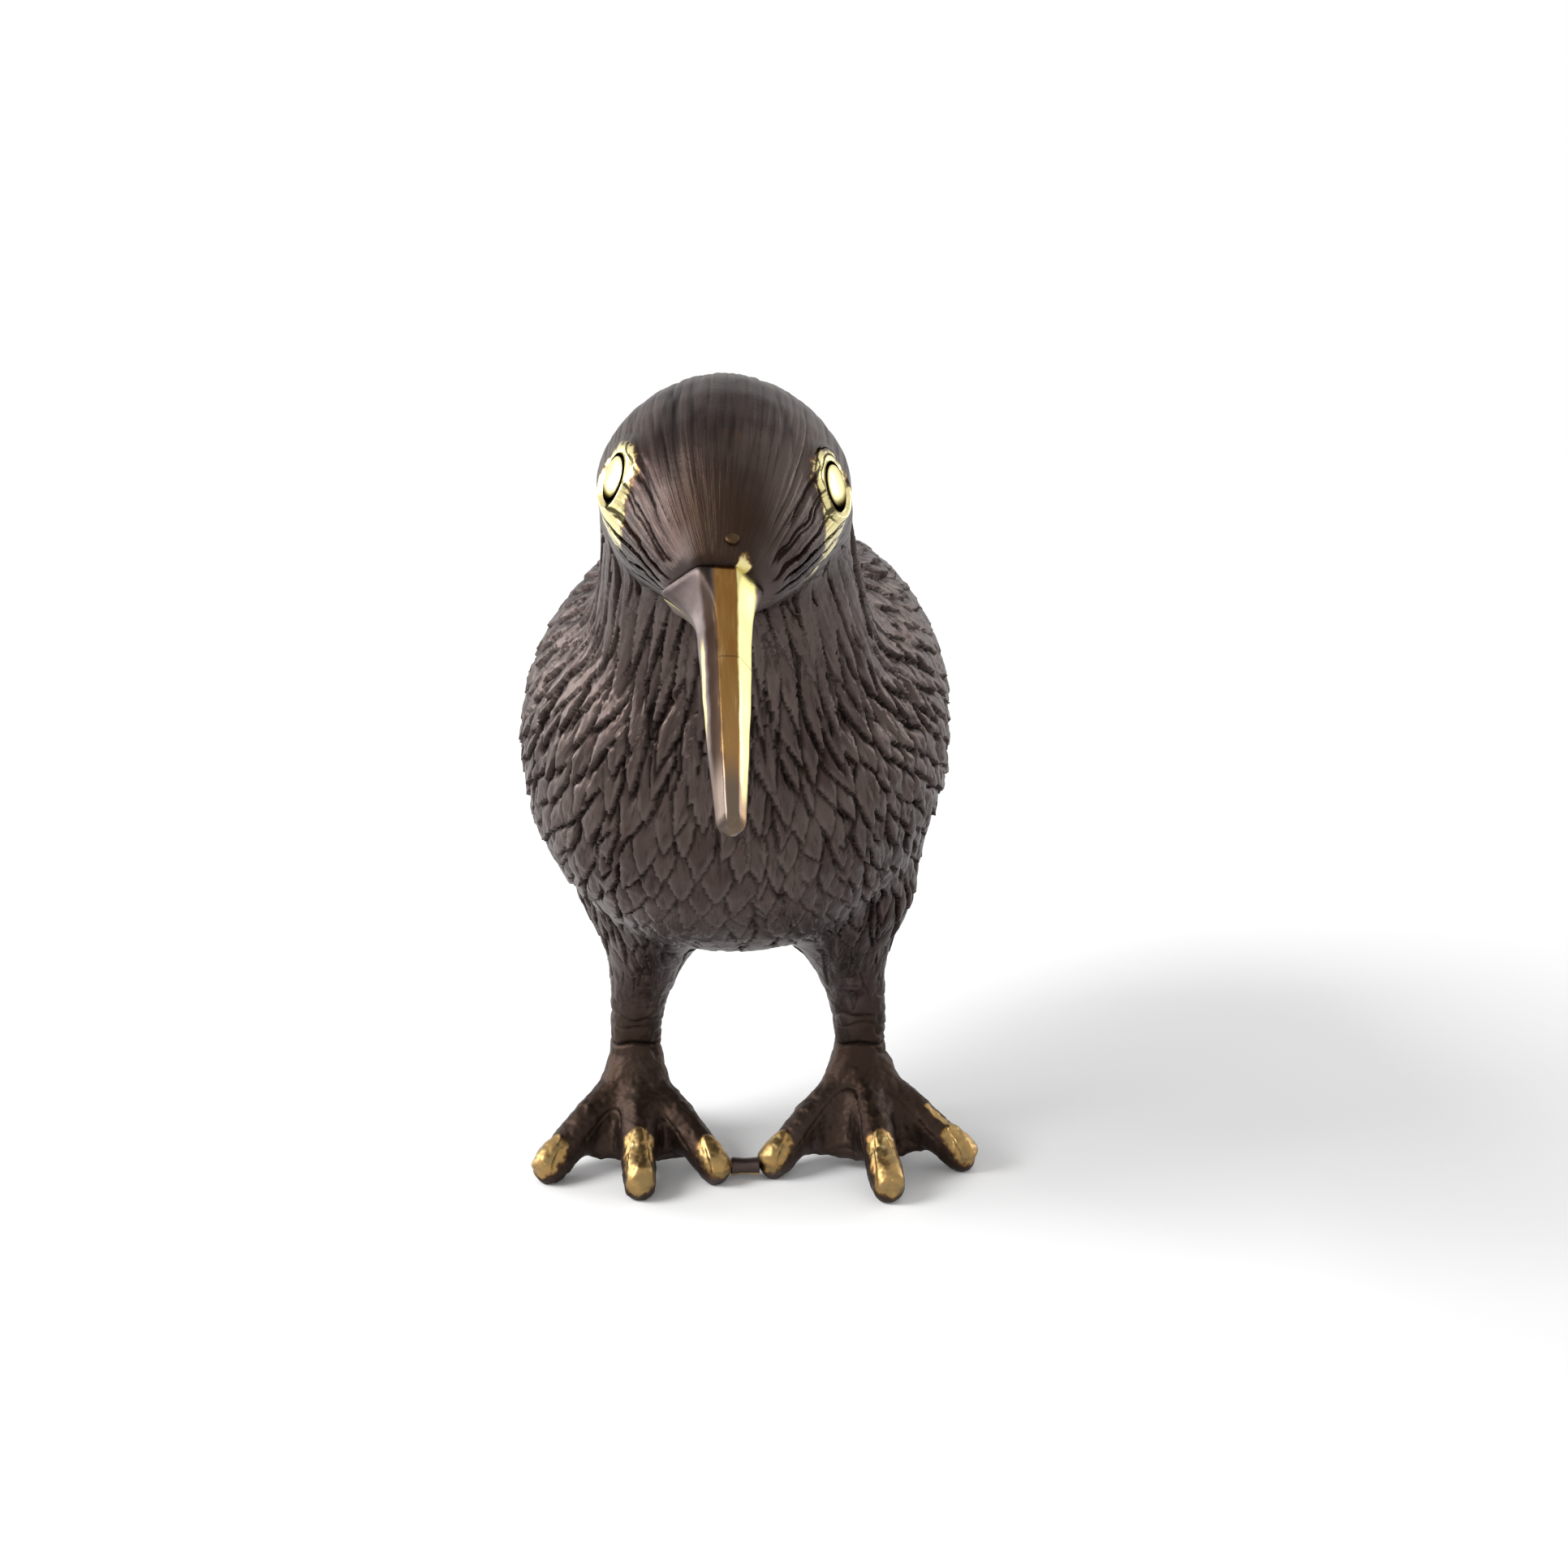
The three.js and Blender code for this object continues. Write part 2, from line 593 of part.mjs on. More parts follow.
function billSkin() {
  const steps = 10;
  const list = [];
  const place = (t) => billRoot.clone().addScaledVector(billDirection, billLength * t)
    .addScaledVector(billLift, billBow * 4 * t * (1 - t)).add(vector(billSide * t, 0, 0));
  const addRing = (t, width, height, shift = 0) => {
    const tilt = mix(muzzleTilt, billAngle, Math.min(1, 3 * t));
    const lift = vector(0, -Math.sin(tilt), Math.cos(tilt));
    const centre = place(t).add(vector(shift, 0, 0));
    list.push(ring(centre, vector(1, 0, 0), lift, width, height, height, billSides,
      billSquareness, billSquareness));
  };
  const roundFrom = 1 - billTipRadius / billLength;
  for (let i = 0; i <= steps; i += 1) {
    const t = (roundFrom * i) / steps;
    const taper = t ** 1.5;
    const flare = Math.max(0, 1 - t / billFlareReach) ** 2;
    const width = mix(billHalfWidth, billTipRadius, taper) + flare * (billFlareLeft + billFlareRight) / 2;
    const height = mix(billHalfHeight, billTipRadius, taper) + flare * billFlare;
    addRing(t, width, height, flare * (billFlareLeft - billFlareRight) / 2);
  }
  for (const turn of [0.5, 1]) {
    const radius = billTipRadius * Math.cos(turn);
    addRing(mix(roundFrom, 1, Math.sin(turn)), radius, radius);
  }
  return toSolid(loft(billRoot, list, place(1)));
}

const tenonAxis = muzzleNormal.clone();
const tenonEnd = muzzleCentre.clone().addScaledVector(tenonAxis, -tenonLength);
const tenon = rod(billRoot.clone().addScaledVector(tenonAxis, joinOverlap / 2), tenonEnd, tenonRadius);
const tenonSocket = rod(muzzleCentre.clone().addScaledVector(tenonAxis, joinOverlap),
  tenonEnd.clone().addScaledVector(tenonAxis, -gap), tenonRadius + gap);
const wholeBill = billSkin().add(tenon);
const gapeNormal = vector(0, -Math.sin(muzzleTilt), Math.cos(muzzleTilt));
const gapePoint = billRoot.clone().addScaledVector(gapeNormal, -gapeDrop);
const gapeEnd = billRoot.clone().addScaledVector(billDirection, billLength)
  .addScaledVector(billLift, -gapeTipDrop);
const gapeLine = gapeEnd.clone().sub(gapePoint).normalize();
const gapeUp = vector(0, gapeLine.z, -gapeLine.y);
const aboveGape = halfSpace(gapePoint, gapeUp);
const belowGape = halfSpace(gapePoint.clone().addScaledVector(gapeUp, -gap), gapeUp.clone().negate());

// Bill pin, driven in from the forehead
const billPinMiddle = muzzleCentre.clone().addScaledVector(tenonAxis, -billPinBack)
  .add(vector(billPinSide, 0, 0));
const billPinEnd = billPinMiddle.clone().addScaledVector(gapeNormal, -tenonRadius - billPinBite);
const billPinStart = billPinMiddle.clone().addScaledVector(gapeNormal, pinOutreach);
const billPin = rod(billPinStart, billPinEnd, billPinRadius, 12).intersect(smoothTrunk);
const billPinBore = rod(billPinStart, billPinEnd.clone().addScaledVector(gapeNormal, -gap),
  billPinRadius + gap, 12);

// Eyes, each a dome on a shank in a seat sunk square to the head's surface
function headPoint(t, angle) {
  const { centre, across, lift, width, above } = headSection(t);
  const power = 2 / crownSquareness;
  const side = Math.sign(Math.cos(angle)) * Math.abs(Math.cos(angle)) ** power;
  return centre.clone().addScaledVector(across, width * side)
    .addScaledVector(lift, above * Math.sin(angle) ** power);
}

function eyePlace(side) {
  const angle = side > 0 ? eyeAngle : Math.PI - eyeAngle;
  const step = 0.01;
  const point = headPoint(eyeStation, angle);
  const along = headPoint(eyeStation + step, angle).sub(point);
  const around = headPoint(eyeStation, angle + step).sub(point);
  const outward = along.cross(around).normalize();
  if (outward.x * side < 0) {
    outward.negate();
  }
  return { point, outward };
}

function onHead(profile, { point, outward }) {
  const geometry = new THREE.LatheGeometry(profile.map(([x, y]) => new THREE.Vector2(x, y)), eyeSides);
  geometry.applyQuaternion(new THREE.Quaternion().setFromUnitVectors(vector(0, 1, 0), outward));
  geometry.translate(...point.toArray());
  return toSolid(geometry);
}

function eyeDome(side) {
  const profile = [
    [0, -eyeSeatDepth - eyeShankLength],
    [eyeShankRadius, -eyeSeatDepth - eyeShankLength],
    [eyeShankRadius, -eyeSeatDepth],
    [eyeRadius, -eyeSeatDepth],
  ];
  const steps = 4;
  for (let i = 0; i < steps; i += 1) {
    const angle = (Math.PI / 2) * (i / steps);
    profile.push([eyeRadius * Math.cos(angle), eyeBulge * Math.sin(angle)]);
  }
  profile.push([0, eyeBulge]);
  return onHead(profile, eyePlace(side));
}

function eyeSeat(side) {
  const open = 3 * eyeRadius;
  return onHead([
    [0, -eyeSeatDepth - eyeShankLength - gap],
    [eyeShankRadius + gap, -eyeSeatDepth - eyeShankLength - gap],
    [eyeShankRadius + gap, -eyeSeatDepth - gap],
    [eyeRadius + gap, -eyeSeatDepth - gap],
    [eyeRadius + gap, open],
    [0, open],
  ], eyePlace(side));
}

// Hips and ankles
function hipJoint(side) {
  const seat = legCentre(side, thighSpread, hipSeam);
  const top = seat.clone().add(vector(0, 0, hipSpigotLength));
  const middle = seat.clone().add(vector(0, 0, hipSpigotLength / 2));
  const inner = middle.clone().add(vector(-side * (hipSpigotRadius + pinBite), 0, 0));
  const outer = middle.clone().add(vector(side * pinOutreach, 0, 0));
  return {
    spigot: rod(seat.clone().add(vector(0, 0, -joinOverlap)), top, hipSpigotRadius),
    socket: rod(seat.clone().add(vector(0, 0, -joinOverlap)), top.clone().add(vector(0, 0, gap)),
      hipSpigotRadius + gap),
    boss: (grow) => rod(seat, top.clone().add(vector(0, 0, wallThickness + grow)),
      hipSpigotRadius + wallThickness + grow),
    pin: rod(inner, outer, hipPinRadius).intersect(plumedTrunk),
    bore: rod(inner.clone().add(vector(-side * gap, 0, 0)), outer, hipPinRadius + gap),
  };
}

function footSkin(side, toes) {
  const backward = { length: hindToeLength, turn: Math.PI + (toes[0].turn + toes[2].turn) / 2 };
  return joined([
    webSkin(side, toes),
    ...toes.map((toe) => toeSkin(side, toe, toeRootHeight)),
    toeSkin(side, backward, toeRootHeight * hindToeShare),
  ]).intersect(aboveFloor);
}

function ankleJoint(side, foot) {
  const seat = legCentre(side, ankleSpread, ankleHeight);
  const end = seat.clone().add(vector(0, 0, -ankleTenonLength));
  const middle = seat.clone().add(vector(0, 0, -ankleTenonLength / 2));
  const reach = vector(2 * ankleRadius, 0, 0);
  return {
    tenon: rod(seat.clone().add(vector(0, 0, joinOverlap)), end, ankleTenonRadius),
    socket: rod(seat, end.clone().add(vector(0, 0, -gap)), ankleTenonRadius + gap),
    pin: rod(middle.clone().sub(reach), middle.clone().add(reach), anklePinRadius, 12).intersect(foot),
    bore: rod(middle.clone().sub(reach), middle.clone().add(reach), anklePinRadius + gap, 12),
  };
}

const hips = { left: hipJoint(sides.left), right: hipJoint(sides.right) };
const feet = { left: footSkin(sides.left, leftToes), right: footSkin(sides.right, rightToes) };
const ankles = { left: ankleJoint(sides.left, feet.left), right: ankleJoint(sides.right, feet.right) };

function legCasting(name) {
  const shaft = legs[name].intersect(belowHipSeam).intersect(aboveAnkleSeam);
  return cutBy(joined([shaft, hips[name].spigot, ankles[name].tenon]),
    [hips[name].bore, ankles[name].bore]);
}

// Clay core, the hole that let it be held, and the pins that centred it
const coreHoleAxis = vector(0, coreHoleBack, 0);
const coreHoleTop = coreHoleAxis.clone().setZ(bodyLevel);
const coreHole = rod(coreHoleAxis, coreHoleTop, coreHoleRadius, 24);
const hollow = bodySkin(wallThickness, coreSides, coreRings);
const neckBoss = (grow) => rod(neckSeamPoint,
  spigotEnd.clone().addScaledVector(neckSeamNormal, -wallThickness - grow),
  spigotRadius + wallThickness + grow, 24);
const bosses = (grow) => [hips.left.boss(grow), hips.right.boss(grow), neckBoss(grow)];

function corePinLine(name) {
  const middle = bodyAxis(bodyRear * corePinShare);
  const end = bodyAxis(bodyRear);
  const size = Math.sqrt(1 - corePinShare ** 2);
  const depth = wallThickness + corePinReach;
  const lines = {
    back: [vector(0, 0, 1), middle, bodyAbove * size],
    rump: [vector(0, 1, 0), end, 0],
    left: [vector(1, 0, 0), middle, bodyHalfWidth * size],
    right: [vector(-1, 0, 0), middle, bodyHalfWidth * size],
  };
  const [direction, base, surface] = lines[name];
  return { direction, start: base.clone().addScaledVector(direction, surface - depth) };
}

const corePinNames = ['back', 'rump', 'left', 'right'];
const corePinRod = (name, grow) => {
  const { start, direction } = corePinLine(name);
  return rod(start.clone().addScaledVector(direction, -grow),
    start.clone().addScaledVector(direction, pinOutreach), corePinRadius + grow, 12);
};

const corePinBores = corePinNames.map((name) => corePinRod(name, gap));

const bodyCasting = cutBy(
  plumedTrunk.intersect(belowNeckSeam).intersect(aboveHipSeam),
  [
    cutBy(hollow, bosses(0)), spigotSocket, neckPinBore, coreHole, ...corePinBores,
    hips.left.socket, hips.right.socket, hips.left.bore, hips.right.bore,
  ],
);
const headCasting = cutBy(
  smoothTrunk.intersect(aboveNeckSeam).add(spigot),
  [neckPinBore, tenonSocket, billPinBore, eyeSeat(sides.left), eyeSeat(sides.right)],
);
const clayBlank = bodySkin(wallThickness + gap, coreSides, coreRings);
const clayCore = cutBy(clayBlank, [...bosses(gap), ...corePinBores]);
const coreHolePlug = rod(coreHoleAxis, coreHoleTop, coreHoleRadius - gap, 24)
  .intersect(plumedTrunk).subtract(hollow);

// Tie bar between the inner toes
function innerToeEnd(side, toe) {
  const heading = vector(Math.sin(toe.turn), -Math.cos(toe.turn), 0);
  return legCentre(side, ankleSpread, bridgeHeight).addScaledVector(heading, toe.length - toeTipRadius);
}

const innerToes = [[sides.right, rightToes[2]], [sides.left, leftToes[0]]];
const bridgeEnds = innerToes.map(([side, toe]) => innerToeEnd(side, toe));
const toeBridge = cutBy(
  rod(bridgeEnds[0], bridgeEnds[1], bridgeRadius),
  innerToes.map(([side, toe]) => toeSkin(side, toe, toeRootHeight, gap)),
);

// Finishes
function patinatedBronze() {
  return new THREE.MeshStandardMaterial({ color: 0x4a3e39, roughness: 0.42, metalness: 1 });
}

function polishedBrass() {
  return new THREE.MeshStandardMaterial({ color: 0xc79a45, roughness: 0.2, metalness: 1 });
}

function bareBronze() {
  return new THREE.MeshStandardMaterial({ color: 0xa9784a, roughness: 0.4, metalness: 1 });
}

function firedClay() {
  return new THREE.MeshStandardMaterial({ color: 0xb08a6c, roughness: 0.95, metalness: 0 });
}

function piece(name, solid, material) {
  const mesh = new THREE.Mesh(toGeometry(solid), material);
  mesh.name = name;
  return mesh;
}

const bird = new THREE.Group();
bird.add(
  piece('body_casting', bodyCasting, patinatedBronze()),
  piece('head_casting', headCasting, patinatedBronze()),
  piece('neck_pin', neckPin, bareBronze()),
  piece('upper_bill', wholeBill.intersect(aboveGape).subtract(billPinBore), polishedBrass()),
  piece('lower_bill', wholeBill.intersect(belowGape).subtract(billPinBore), polishedBrass()),
  piece('bill_pin', billPin, polishedBrass()),
  piece('clay_core', clayCore, firedClay()),
  piece('core_hole_plug', coreHolePlug, bareBronze()),
  piece('toe_bridge', toeBridge, polishedBrass()),
);
for (const name of corePinNames) {
  bird.add(piece(`core_pin_${name}`, corePinRod(name, 0).intersect(plumedTrunk), bareBronze()));
}
for (const [name, side] of Object.entries(sides)) {
  bird.add(
    piece(`${name}_eye`, eyeDome(side), polishedBrass()),
    piece(`${name}_leg`, legCasting(name), patinatedBronze()),
    piece(`${name}_hip_pin`, hips[name].pin, bareBronze()),
    piece(`${name}_foot`, cutBy(feet[name], [ankles[name].socket, ankles[name].bore]), patinatedBronze()),
    piece(`${name}_ankle_pin`, ankles[name].pin, bareBronze()),
  );
}

// The origin goes to the floor, below the middle of the figurine
const box = new THREE.Box3().setFromObject(bird);
bird.position.set(-(box.min.x + box.max.x) / 2, -(box.min.y + box.max.y) / 2, -box.min.z);

const figurine = new THREE.Group();
figurine.add(bird);

export default figurine;
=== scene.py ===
"""Bronze kiwi figurine: the looks of the bird, its brass and its studio, on the CAD frame.

Sizes are in millimetres and angles in radians, in the CAD frame: +Z up, the bird faces -Y and
its own left side is +X. Each mesh is scaled to metres when it is finished.
"""

import logging
import math
from collections.abc import Callable, Iterable, Sequence
from dataclasses import dataclass
from enum import Enum

import bmesh
import bpy
import numpy as np
from mathutils import Matrix, Vector
from mathutils.bvhtree import BVHTree


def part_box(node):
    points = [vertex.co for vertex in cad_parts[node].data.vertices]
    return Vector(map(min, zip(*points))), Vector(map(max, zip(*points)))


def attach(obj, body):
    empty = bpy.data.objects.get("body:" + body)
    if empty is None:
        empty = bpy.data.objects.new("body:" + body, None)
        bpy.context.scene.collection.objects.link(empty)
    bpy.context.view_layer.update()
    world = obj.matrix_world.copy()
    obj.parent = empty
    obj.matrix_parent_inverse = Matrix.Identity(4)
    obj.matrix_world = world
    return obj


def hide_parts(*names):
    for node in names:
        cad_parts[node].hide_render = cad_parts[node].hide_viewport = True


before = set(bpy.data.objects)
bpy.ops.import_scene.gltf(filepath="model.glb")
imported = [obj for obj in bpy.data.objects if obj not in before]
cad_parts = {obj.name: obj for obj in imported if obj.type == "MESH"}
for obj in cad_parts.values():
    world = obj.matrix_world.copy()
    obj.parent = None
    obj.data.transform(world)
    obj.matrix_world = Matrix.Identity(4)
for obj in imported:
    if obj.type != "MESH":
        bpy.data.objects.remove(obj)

logging.basicConfig(level=logging.INFO, format="%(message)s")
log = logging.getLogger("kiwi")

MM = 0.001
ACROSS = Vector((1.0, 0.0, 0.0))
BACK = Vector((0.0, 1.0, 0.0))
UP = Vector((0.0, 0.0, 1.0))

Array = np.ndarray
Table = dict[str, Array]
Thing = bpy.types.Object
Material = bpy.types.Material
NodeTree = bpy.types.NodeTree
Socket = bpy.types.NodeSocket
BMesh = bmesh.types.BMesh


def mix(a: float, b: float, t: float) -> float:
    """Returns the value a share t of the way from a to b."""
    return a + (b - a) * t


def ease(low: float, high: float, value: Array | float) -> Array | float:
    """Returns 0 where a value lies before low, 1 beyond high, and a smooth rise between them."""
    t = np.clip((value - low) / (high - low), 0.0, 1.0)
    return t * t * (3.0 - 2.0 * t)


def bell(value: Array, width: Array | float) -> Array:
    """Returns 1 where a value is 0, and less the further it is from 0, measured by a width."""
    return np.exp(-((value / width) ** 2))


def dots(first: Array, second: Array) -> Array:
    """Returns the dot product of each row of one list with the same row of another."""
    return np.einsum("ij,ij->i", first, second)


def lengths(rows: Array) -> Array:
    """Returns each row's length."""
    return np.linalg.norm(rows, axis=1)


def units(rows: Array) -> Array:
    """Returns each row brought to length 1."""
    return rows / (lengths(rows)[:, None] + 1e-9)


def pitched(angle: float) -> tuple[Vector, Vector]:
    """Returns the ways forward and up of something that points forward and down by an angle."""
    forward = Vector((0.0, -math.cos(angle), -math.sin(angle)))
    return forward, Vector((0.0, -math.sin(angle), math.cos(angle)))


@dataclass(frozen=True)
class Toe:
    """One toe, from the ankle's axis to its tip, and its turn towards the bird's left."""

    length: float
    turn: float

    @property
    def heading(self) -> Vector:
        """The way it points."""
        return Vector((math.sin(self.turn), -math.cos(self.turn), 0.0))

    @property
    def across(self) -> Vector:
        """The way across it."""
        return Vector((math.cos(self.turn), math.sin(self.turn), 0.0))


@dataclass(frozen=True)
class BirdSizes:
    """The casting's own sizes, the same as in the CAD source."""

    belly_height: float = 31.0
    body_half_width: float = 27.5
    body_above: float = 29.0
    body_below: float = 30.0
    body_front: float = 36.0
    body_rear: float = 48.0
    body_pitch: float = 0.12
    body_turn: float = 0.09
    belly_squareness: float = 2.15
    core_hole_back: float = 24.0
    head_forward: float = 32.0
    head_side: float = -0.9
    head_rise: float = 40.5
    head_half_width: float = 14.9
    head_above: float = 13.2
    head_below: float = 13.2
    head_back: float = 16.5
    head_front: float = 21.0
    head_drop: float = 6.2
    head_roll: float = 0.04
    head_narrowing: float = 1.9
    head_droop: float = 1.6
    crown_squareness: float = 1.8
    muzzle_half_width: float = 6.2
    muzzle_half_height: float = 4.6
    muzzle_tilt: float = 0.5
    neck_root_half_width: float = 24.0
    neck_root_depth: float = 23.0
    neck_root_back: float = 20.0
    neck_root_rise: float = 6.0
    neck_top_half_width: float = 15.0
    neck_top_depth: float = 13.0
    neck_taper: float = 2.3
    neck_top_inset: float = 2.0
    neck_seam_tilt: float = 0.43
    neck_seam_drop: float = 10.0
    neck_seam_back: float = 4.0
    gap: float = 0.3
    bill_length: float = 33.5
    bill_angle: float = 0.57
    bill_bow: float = 1.2
    bill_side: float = 1.3
    bill_half_width: float = 3.15
    bill_half_height: float = 3.3
    bill_flare: float = 0.9
    bill_flare_left: float = 0.8
    bill_flare_right: float = 2.7
    bill_flare_reach: float = 0.23
    bill_spread_left: float = 0.5
    bill_spread_right: float = 1.2
    bill_tip_radius: float = 1.5
    gape_drop: float = 0.6
    gape_tip_drop: float = 0.9
    tenon_radius: float = 2.4
    tenon_length: float = 8.0
    bill_pin_radius: float = 0.8
    bill_pin_side: float = 1.2
    bill_pin_back: float = 2.2
    eye_radius: float = 3.0
    eye_turn: float = 0.18
    eye_station: float = 0.64
    eye_angle: float = 0.38
    stance_shift: float = 1.1
    leg_back: float = 3.0
    ankle_spread: float = 15.2
    ankle_height: float = 15.5
    ankle_radius: float = 3.5
    shank_radius: float = 3.7
    hip_seam: float = 30.5
    thigh_radius: float = 7.1
    thigh_spread: float = 12.6
    thigh_depth: float = 1.15
    thigh_top_radius: float = 13.0
    thigh_top_spread: float = 11.0
    thigh_top_rise: float = 20.0
    knee_share: float = 0.45
    knee_swell: float = 1.08
    knee_lean: float = 0.25
    drum_share: float = 0.55
    drum_lean: float = 0.65
    drum_swell: float = 0.45
    ankle_swell: float = 0.3
    ham_rise: float = 0.3
    ham_spread: float = 0.5
    ham_swell: float = 0.6
    toe_radius: float = 2.8
    toe_tip_radius: float = 2.35
    toe_ridge: float = 0.9
    toe_root_height: float = 10.0
    pad_depth: float = 0.5
    pad_share: float = 0.16
    toe_arch: float = 0.85
    hind_toe_length: float = 8.5
    hind_toe_share: float = 0.8
    bridge_radius: float = 1.25
    bridge_height: float = 1.9
    web_reach: float = 12.5
    web_clearance: float = 1.4
    web_collar: float = 0.97
    web_heel: float = 0.6
    web_tops: tuple[tuple[float, float], ...] = ((0.55, 4.6), (0.92, 2.4))
    plume_columns: int = 50
    plume_rows: int = 22
    plume_first: float = 0.42
    plume_last: float = 2.75
    plume_stray: float = 0.15
    right_toes: tuple[Toe, ...] = (Toe(19.4, -0.72), Toe(19.8, 0.06), Toe(19.3, 0.70))
    left_toes: tuple[Toe, ...] = (Toe(18.4, -0.80), Toe(20.8, 0.19), Toe(18.6, 0.97))

    @property
    def origin(self) -> Vector:
        """The body's middle on the floor, read from the plug that sits behind it."""
        low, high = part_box("core_hole_plug")
        return Vector(((low[0] + high[0]) / 2 / MM, (low[1] + high[1]) / 2 / MM - self.core_hole_back, 0.0))

    @property
    def stance_middle(self) -> float:
        """The middle between the legs, across the bird."""
        return self.origin.x + self.stance_shift

    @property
    def feet(self) -> tuple[tuple[int, tuple[Toe, ...]], ...]:
        """Both feet: 1 for the bird's left or -1 for its right, and the toes."""
        return (1, self.left_toes), (-1, self.right_toes)

    def leg_point(self, side: int, spread: float, height: float = 0.0) -> Vector:
        """Returns the middle of a leg at a height, where the legs stand a spread apart from their middle."""
        return self.origin + Vector((self.stance_shift + side * spread, self.leg_back, height))

    @property
    def body_centre(self) -> Vector:
        """The middle of the body's widest section."""
        return self.origin + UP * (self.belly_height + self.body_below)

    @property
    def head_centre(self) -> Vector:
        """The middle of the head's widest section."""
        return self.body_centre + Vector((self.head_side, -self.head_forward, self.head_rise))

    @property
    def muzzle_centre(self) -> Vector:
        """The middle of the seam between head and bill."""
        return self.head_centre + Vector((0.0, -self.head_front, -self.head_drop))

    @property
    def neck_seam_normal(self) -> Vector:
        """The direction of the neck seam's plane, towards the head."""
        return pitched(self.neck_seam_tilt)[1]

    @property
    def neck_seam_point(self) -> Vector:
        """A point on the neck seam's plane."""
        return self.head_centre + BACK * self.neck_seam_back - self.neck_seam_normal * self.neck_seam_drop


@dataclass(frozen=True)
class Station:
    """One ring of a form: its centre, its reach in its two directions, and how boxy each half is."""

    centre: Vector
    lift: Vector
    width: float
    above: float
    below: float
    across: Vector = ACROSS
    squareness: float = 2.0
    crown: float = 2.0

    def place(self, x: float, y: float) -> Vector:
        """Returns the ring's point for a point on the unit circle."""
        power = 2.0 / (self.squareness if y < 0 else self.crown)
        wide = math.copysign(abs(x) ** power, x) * self.width
        high = math.copysign(abs(y) ** power, y) * (self.above if y > 0 else self.below)
        return self.centre + self.across * wide + self.lift * high


@dataclass(frozen=True)
class FacetedStation(Station):
    """A ring with flat faces and rounded edges, each face given by its angle and its distance."""

    faces: tuple[tuple[float, float], ...] = ()
    edge: float = 14.0

    def place(self, x: float, y: float) -> Vector:
        """Returns the ring's point for a point on the unit circle."""
        total = 0.0
        for degrees, distance in self.faces:
            toward = x * math.cos(math.radians(degrees)) + y * math.sin(math.radians(degrees))
            total += max(0.0, toward / distance) ** self.edge
        reach = total ** (-1.0 / self.edge)
        return self.centre + self.across * (x * reach * self.width) + self.lift * (y * reach * self.above)


def add_tube(bm: BMesh, stations: Sequence[Station], sides: int) -> None:
    """Adds a closed form: a circle at each station, bridged to the next, with both ends filled.

    Args:
        bm: The mesh that takes the form.
        stations: The rings, from one end to the other.
        sides: Points on each ring.
    """
    loops = []
    for station in stations:
        verts = bmesh.ops.create_circle(bm, cap_ends=False, radius=1.0, segments=sides)["verts"]
        loops.append(list({edge for vert in verts for edge in vert.link_edges}))
        for vert in verts:
            vert.co = station.place(vert.co.x, vert.co.y)
    for near, far in zip(loops, loops[1:]):
        bmesh.ops.bridge_loops(bm, edges=near + far)
    bmesh.ops.holes_fill(bm, edges=loops[0] + loops[-1], sides=0)
    bmesh.ops.recalc_face_normals(bm, faces=bm.faces)


def add_hull(bm: BMesh, points: Sequence[Vector]) -> None:
    """Adds the convex solid round some points."""
    verts = [bm.verts.new(point) for point in points]
    made = bmesh.ops.convex_hull(bm, input=verts, use_existing_faces=False)
    bmesh.ops.delete(bm, geom=list(set(made["geom_interior"])), context="VERTS")


def added(name: str, data: bpy.types.ID) -> Thing:
    """Returns a new object of the scene with some data."""
    made = bpy.data.objects.new(name, data)
    bpy.context.scene.collection.objects.link(made)
    return made


def to_object(bm: BMesh, name: str) -> Thing:
    """Turns a bmesh into a linked object, and frees the bmesh."""
    mesh = bpy.data.meshes.new(name)
    bm.to_mesh(mesh)
    bm.free()
    return added(name, mesh)


def cut_off(bm: BMesh, point: Vector, away: Vector) -> None:
    """Cuts off what lies beyond a plane and closes the mesh there, with a crisp rim.

    Args:
        bm: The mesh.
        point: A point of the plane.
        away: The direction of what is cut off.
    """
    made = bmesh.ops.bisect_plane(
        bm,
        geom=bm.verts[:] + bm.edges[:] + bm.faces[:],
        dist=1e-5,
        plane_co=point,
        plane_no=away,
        clear_outer=True,
    )
    rim = [item for item in made["geom_cut"] if isinstance(item, bmesh.types.BMEdge)]
    bmesh.ops.holes_fill(bm, edges=rim, sides=0)
    for edge in rim:
        edge.smooth = False


def shade(bm: BMesh, crease: float = 0.6) -> None:
    """Shades all faces smooth and keeps the edges crisp that turn by more than the crease."""
    bmesh.ops.recalc_face_normals(bm, faces=bm.faces)
    for face in bm.faces:
        face.smooth = True
    for edge in bm.edges:
        edge.smooth = edge.is_manifold and edge.calc_face_angle(0.0) < crease


def to_metres(made: Thing) -> Thing:
    """Brings an object's mesh from millimetres to metres, and returns the object."""
    made.data.transform(Matrix.Scale(MM, 4))
    made.data.update()
    log.info("%s: %d faces", made.name, len(made.data.polygons))
    return made


def with_modifier(source: Thing, kind: str, **settings: object) -> Thing:
    """Applies one modifier to an object's mesh.

    Args:
        source: The object, whose mesh is exchanged for the result.
        kind: The modifier's type.
        settings: Its properties.

    Returns:
        The same object.
    """
    modifier = source.modifiers.new(kind, kind)
    for key, value in settings.items():
        setattr(modifier, key, value)
    evaluated = source.evaluated_get(bpy.context.evaluated_depsgraph_get())
    result = bpy.data.meshes.new_from_object(evaluated)
    before = source.data
    source.modifiers.clear()
    source.data = result
    bpy.data.meshes.remove(before)
    return source


